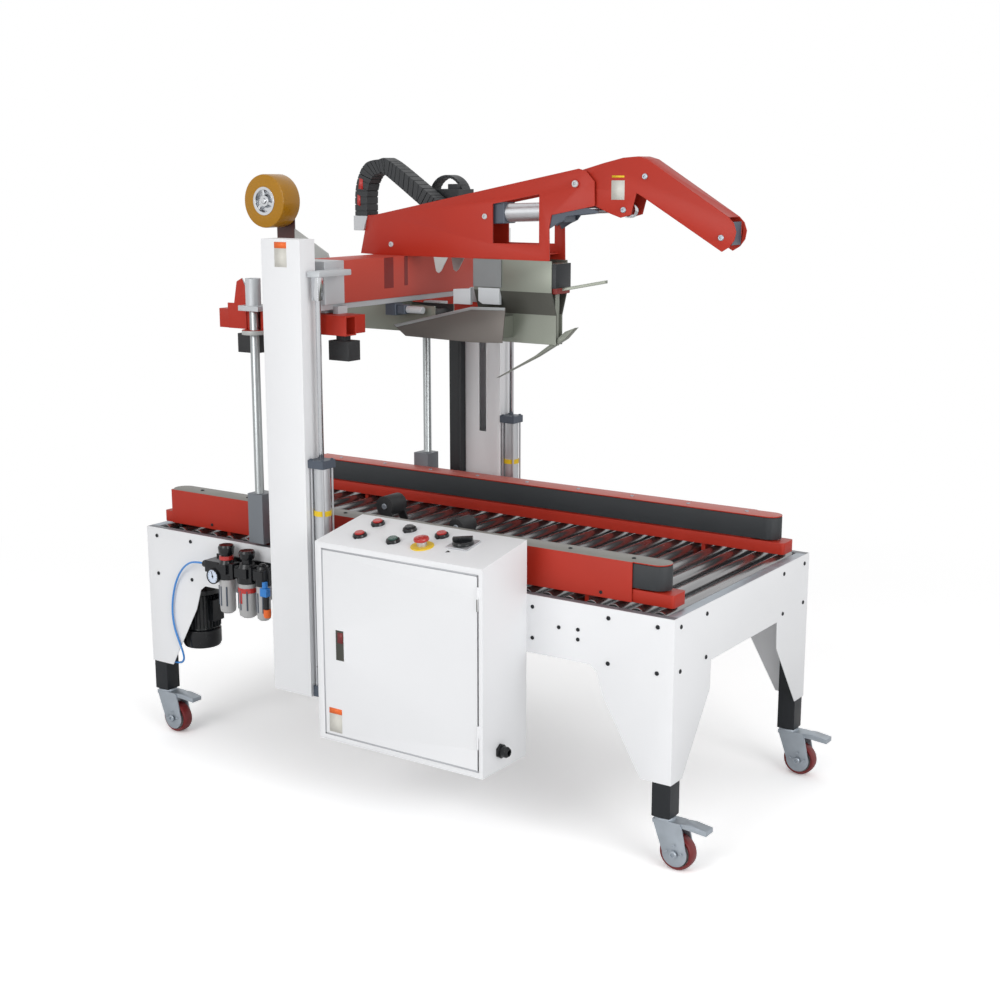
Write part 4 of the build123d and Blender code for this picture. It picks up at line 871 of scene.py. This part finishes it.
def chain_links(solid, outer, inner, low, high):
    """Links between an outer and an inner line, with a narrow groove between neighbours."""
    groove, skin = 0.05, (high - low) * 0.03
    for near, back, next_near, next_back in zip(outer, inner, outer[1:], inner[1:]):
        link = [near.lerp(next_near, groove), near.lerp(next_near, 1 - groove),
                back.lerp(next_back, 1 - groove), back.lerp(next_back, groove)]
        core = [near.lerp(back, groove), next_near.lerp(next_back, groove),
                next_near.lerp(next_back, 1 - groove), near.lerp(back, 1 - groove)]
        solid.plate(link, low, high)
        solid.plate(core, low + skin, high - skin)


def chains():
    """Two black cable chains made of separate links."""
    pitch, half = 0.016, 0.025
    outer = smooth([(-0.364, 1.531), (-0.362, 1.6), (-0.347, 1.648), (-0.322, 1.678), (-0.277, 1.687),
                    (-0.236, 1.682), (-0.077, 1.578)], pitch)
    inner = smooth([(-0.32, 1.531), (-0.318, 1.6), (-0.304, 1.632), (-0.292, 1.644), (-0.272, 1.649),
                    (-0.255, 1.645), (-0.101, 1.541)], pitch)
    share = (len(inner) - 1) / (len(outer) - 1)
    first = Solid()
    chain_links(first, outer, [inner[round(k * share)] for k in range(len(outer))], -half, half)
    first.piece("chain_first", "head", "chain_plastic", LINK, 0.0008, replaces=("cable_chains",))
    foot = Solid().plate([(-0.37, 1.49), (-0.335, 1.49), (-0.3205, 1.531), (-0.37, 1.531)], -half, half)
    foot.piece("chain_foot", "head", "bracket_cast", PALE, 0.001)
    slots = Solid()
    for outline in ([(-0.356, 1.562), (-0.344, 1.558), (-0.344, 1.586), (-0.354, 1.59)],
                    [(-0.35, 1.606), (-0.334, 1.604), (-0.334, 1.632), (-0.346, 1.636)]):
        slots.plate(outline, -0.0258, -0.0246)
    slots.piece("chain_slots", "head", "machine_red", BUTTON_RED)
    turns = [math.radians(186 - 12 * k) for k in range(17)]

    def arc(radius):
        return [Vector((-0.116 + radius * math.cos(turn), 1.586 + radius * math.sin(turn))) for turn in turns]

    second = Solid()
    chain_links(second, arc(0.0588), arc(0.0512), 0.075, 0.115)
    second.box((-0.15, 0.04, 1.554), (-0.05, 0.115, 1.606))
    second.box((-0.175, 0.04, 1.547), (-0.057, 0.115, 1.561))
    second.box((-0.1, 0.06, 1.606), (-0.066, 0.1, 1.62))
    second.piece("chain_second", "head", "chain_plastic", LINK, 0.001)


def kicker():
    """Rear-flap folder with its bumper, bolts, blank tag, cylinder and rod."""
    skin_y, sunk = 0.032, 0.0001

    def bumper(centre, normal):
        return centre.x > 0.799 and abs(centre.y) < 0.0285 and centre.z < 1.5405

    dress("kicker", RED, 0.0012, (SLATE, bumper))
    bolts = Solid()
    for name, side, along in SIDES:
        for x, z in ((0.514, 1.56), (0.574, 1.643), (0.788, 1.497)):
            bolts.bolt(at(x, side * skin_y, z, along), 0.0075, 0.004)
    bolts.piece("kicker_bolts", "kicker", "roller_zinc", ZINC)
    tag("kicker_tag", "kicker", "panel_white", LABEL, -skin_y, (0.478, 1.585), (0.516, 1.633), sunk)
    tag("kicker_tag_band", "kicker", "control_plastic", YELLOW, -skin_y, (0.479, 1.64), (0.515, 1.645), sunk)
    place = toward(kick_rear_pin, kick_ear_pin)
    tube_start, tube_length, tube_radius = 0.075, 0.165, 0.0245
    tube = Solid().drum(toward(kick_rear_pin, kick_ear_pin, tube_start), tube_radius, 0, tube_length, 40)
    tube.piece("kick_tube", "kick_cylinder", "cylinder_aluminium", SILVER, replaces=("kick_cylinder",))
    caps = Solid()
    caps.box((-0.028, -0.028, 0.035), (0.028, 0.028, tube_start), place)
    caps.box((-0.028, -0.028, tube_start + tube_length), (0.028, 0.028, 0.264), place)
    caps.box((-0.014, -0.012, -0.01), (0.014, 0.012, 0.04), place)
    caps.piece("kick_caps", "kick_cylinder", "motor_black", SLATE, 0.003)
    dress("kick_rod", CHROME, 0.0006)


def press_units():
    """Red press channels with a pale sleeve and seat, a cast flange and black roller blocks."""
    column, lug_x = -0.425, -0.25
    sleeve_bottom, flange_top, flange_bottom = 1.2865, 1.2335, 1.2215

    def sleeve(centre, normal):
        return centre.z > sleeve_bottom and (abs(centre.x - column) < 0.0375 or centre.x > lug_x)

    def flange(centre, normal):
        return centre.z < flange_top and abs(centre.x - column) < 0.036

    def rubber(centre, normal):
        return centre.z < flange_top and not (flange(centre, normal) and centre.z > flange_bottom)

    for name, side, along in SIDES:
        dress("press_unit_" + name, RED, 0.001, (PALE, sleeve), (CAST, flange), (RUBBER, rubber))


def tape():
    """Roll of amber tape on a bright hub."""
    place = at(tape_centre.x, tape_centre.y, tape_centre.z, "Y")
    outer, core, half, spoke_count = 0.078, 0.038, 0.037, 3
    roll = Solid().closed(place, [(core, -half), (outer - 0.005, -half), (outer - 0.0012, -half + 0.0012),
                                  (outer, -half + 0.005)], 96)
    roll.piece("tape_film", "tape", "tape_amber", TAPE, replaces=("tape_roll",))
    hub = Solid()
    hub.turned(place, [(0.0085, -half), (0.016, -half), (0.018, -half + 0.004), (0.02, -half + 0.014),
                       (0.031, -half + 0.014), (0.033, -half - 0.001), (0.0415, -half - 0.0015),
                       (0.0415, -half - 0.0002), (0.0377, -half), (0.0377, half), (0.0415, half + 0.0002),
                       (0.0415, half + 0.0015), (0.033, half + 0.001), (0.031, half - 0.014),
                       (0.018, half - 0.014), (0.016, half), (0.0085, half), (0.0085, -half)], 48)
    for k in range(spoke_count):
        hub.box((0.016, -0.004, -half + 0.002), (0.034, 0.004, -half + 0.018),
                spun(place, 360 * k / spoke_count + 20))
    hub.piece("tape_core", "tape", "hub_chrome", CHROME, 0.0006, replaces=("tape_hub",))


def ground():
    """Pale floor that keeps the shadow and fades out to white. The camera sees it a little lighter."""
    radius, drop, fade_start, fade_end = 9, 0.0005, 1.3, 3.4
    glow_strength, lift = 0.09, (0.5, 0.5, 0.5, 1)
    bpy.ops.mesh.primitive_circle_add(vertices=96, radius=radius, fill_type="NGON", location=(0, 0, -drop))
    floor = bpy.context.object
    floor.name = "floor"
    look, tree, shader = surface("floor_pale")
    link = tree.links.new
    place = add_node(tree, "TexCoord")
    spots = noise(tree, place.outputs["Object"], 3, 2)
    link(mixed(tree, spots, (0.84, 0.84, 0.845, 1), (0.86, 0.86, 0.86, 1)), shader.inputs["Base Color"])
    shader.inputs["Roughness"].default_value = 0.7
    shader.inputs["Specular IOR Level"].default_value = 0.2
    path = add_node(tree, "LightPath")
    glow = add_node(tree, "Emission", Strength=glow_strength)
    pale = add_node(tree, "BsdfDiffuse", Color=lift)
    lifted = add_node(tree, "AddShader")
    both = add_node(tree, "AddShader")
    reach = add_node(tree, "VectorMath", "LENGTH")
    fade = add_node(tree, "MapRange", From_Min=fade_start, From_Max=fade_end)
    fade.interpolation_type = "SMOOTHSTEP"
    white = add_node(tree, "Emission")
    faded = add_node(tree, "MixShader")
    seen = add_node(tree, "MixShader")
    link(pale.outputs["BSDF"], lifted.inputs[0])
    link(glow.outputs["Emission"], lifted.inputs[1])
    link(shader.outputs["BSDF"], both.inputs[0])
    link(lifted.outputs["Shader"], both.inputs[1])
    link(place.outputs["Object"], reach.inputs[0])
    link(reach.outputs["Value"], fade.inputs["Value"])
    link(fade.outputs["Result"], faded.inputs["Fac"])
    link(both.outputs["Shader"], faded.inputs[1])
    link(white.outputs["Emission"], faded.inputs[2])
    link(path.outputs["Is Camera Ray"], seen.inputs["Fac"])
    link(shader.outputs["BSDF"], seen.inputs[1])
    link(faded.outputs["Shader"], seen.inputs[2])
    link(seen.outputs["Shader"], tree.nodes["Material Output"].inputs["Surface"])
    floor.data.materials.append(look)


def backdrop():
    """A white backdrop for what the camera, gloss and glass see, and a plain level for the light."""
    ambient, white = 0.55, 1.0
    world = bpy.data.worlds.new("studio")
    world.use_nodes = True
    bpy.context.scene.world = world
    tree = world.node_tree
    link = tree.links.new
    background = tree.nodes["Background"]
    path = add_node(tree, "LightPath")
    direct = add_node(tree, "Math", "MAXIMUM")
    clear = add_node(tree, "Math", "MAXIMUM")
    level = add_node(tree, "MapRange", To_Min=ambient, To_Max=white)
    link(path.outputs["Is Camera Ray"], direct.inputs[0])
    link(path.outputs["Is Glossy Ray"], direct.inputs[1])
    link(direct.outputs[0], clear.inputs[0])
    link(path.outputs["Is Transmission Ray"], clear.inputs[1])
    link(clear.outputs[0], level.inputs["Value"])
    link(level.outputs["Result"], background.inputs["Strength"])
    background.inputs["Color"].default_value = (1, 1, 1, 1)


def lamps():
    """A key from the front left, a fill from the right and a weak lamp above."""
    target = Vector((0, 0, 0.8))
    for name, place, size, power in (("key", (-0.6, -4.6, 2.6), 2.6, 82),
                                     ("fill", (4.5, -1.8, 2.0), 2.4, 78),
                                     ("top", (0.3, 0.4, 4.6), 3.0, 12)):
        lamp = bpy.data.lights.new(name, "AREA")
        lamp.size = size
        lamp.energy = power
        holder = add_object(name, lamp)
        holder.location = place
        holder.rotation_euler = (target - Vector(place)).to_track_quat("-Z", "Y").to_euler()


def camera():
    """The solved camera, and plain colours in the picture."""
    lens = bpy.data.cameras.new("view")
    lens.lens = camera_lens
    lens.sensor_width = sensor_width
    holder = add_object("view", lens)
    holder.location = camera_place
    holder.rotation_euler = (math.radians(90 - camera_pitch_down), 0, math.radians(camera_yaw))
    bpy.context.scene.camera = holder
    bpy.context.scene.view_settings.view_transform = "Standard"


for build in (ground, backdrop, lamps, camera, table, rollers, casters, lower_head, masts, lift_cylinders,
              cabinet, controls, air_unit, air_bowls, air_gauge, air_fittings, air_hose, belts, head,
              plate_details, chains, kicker, press_units, tape):
    build()
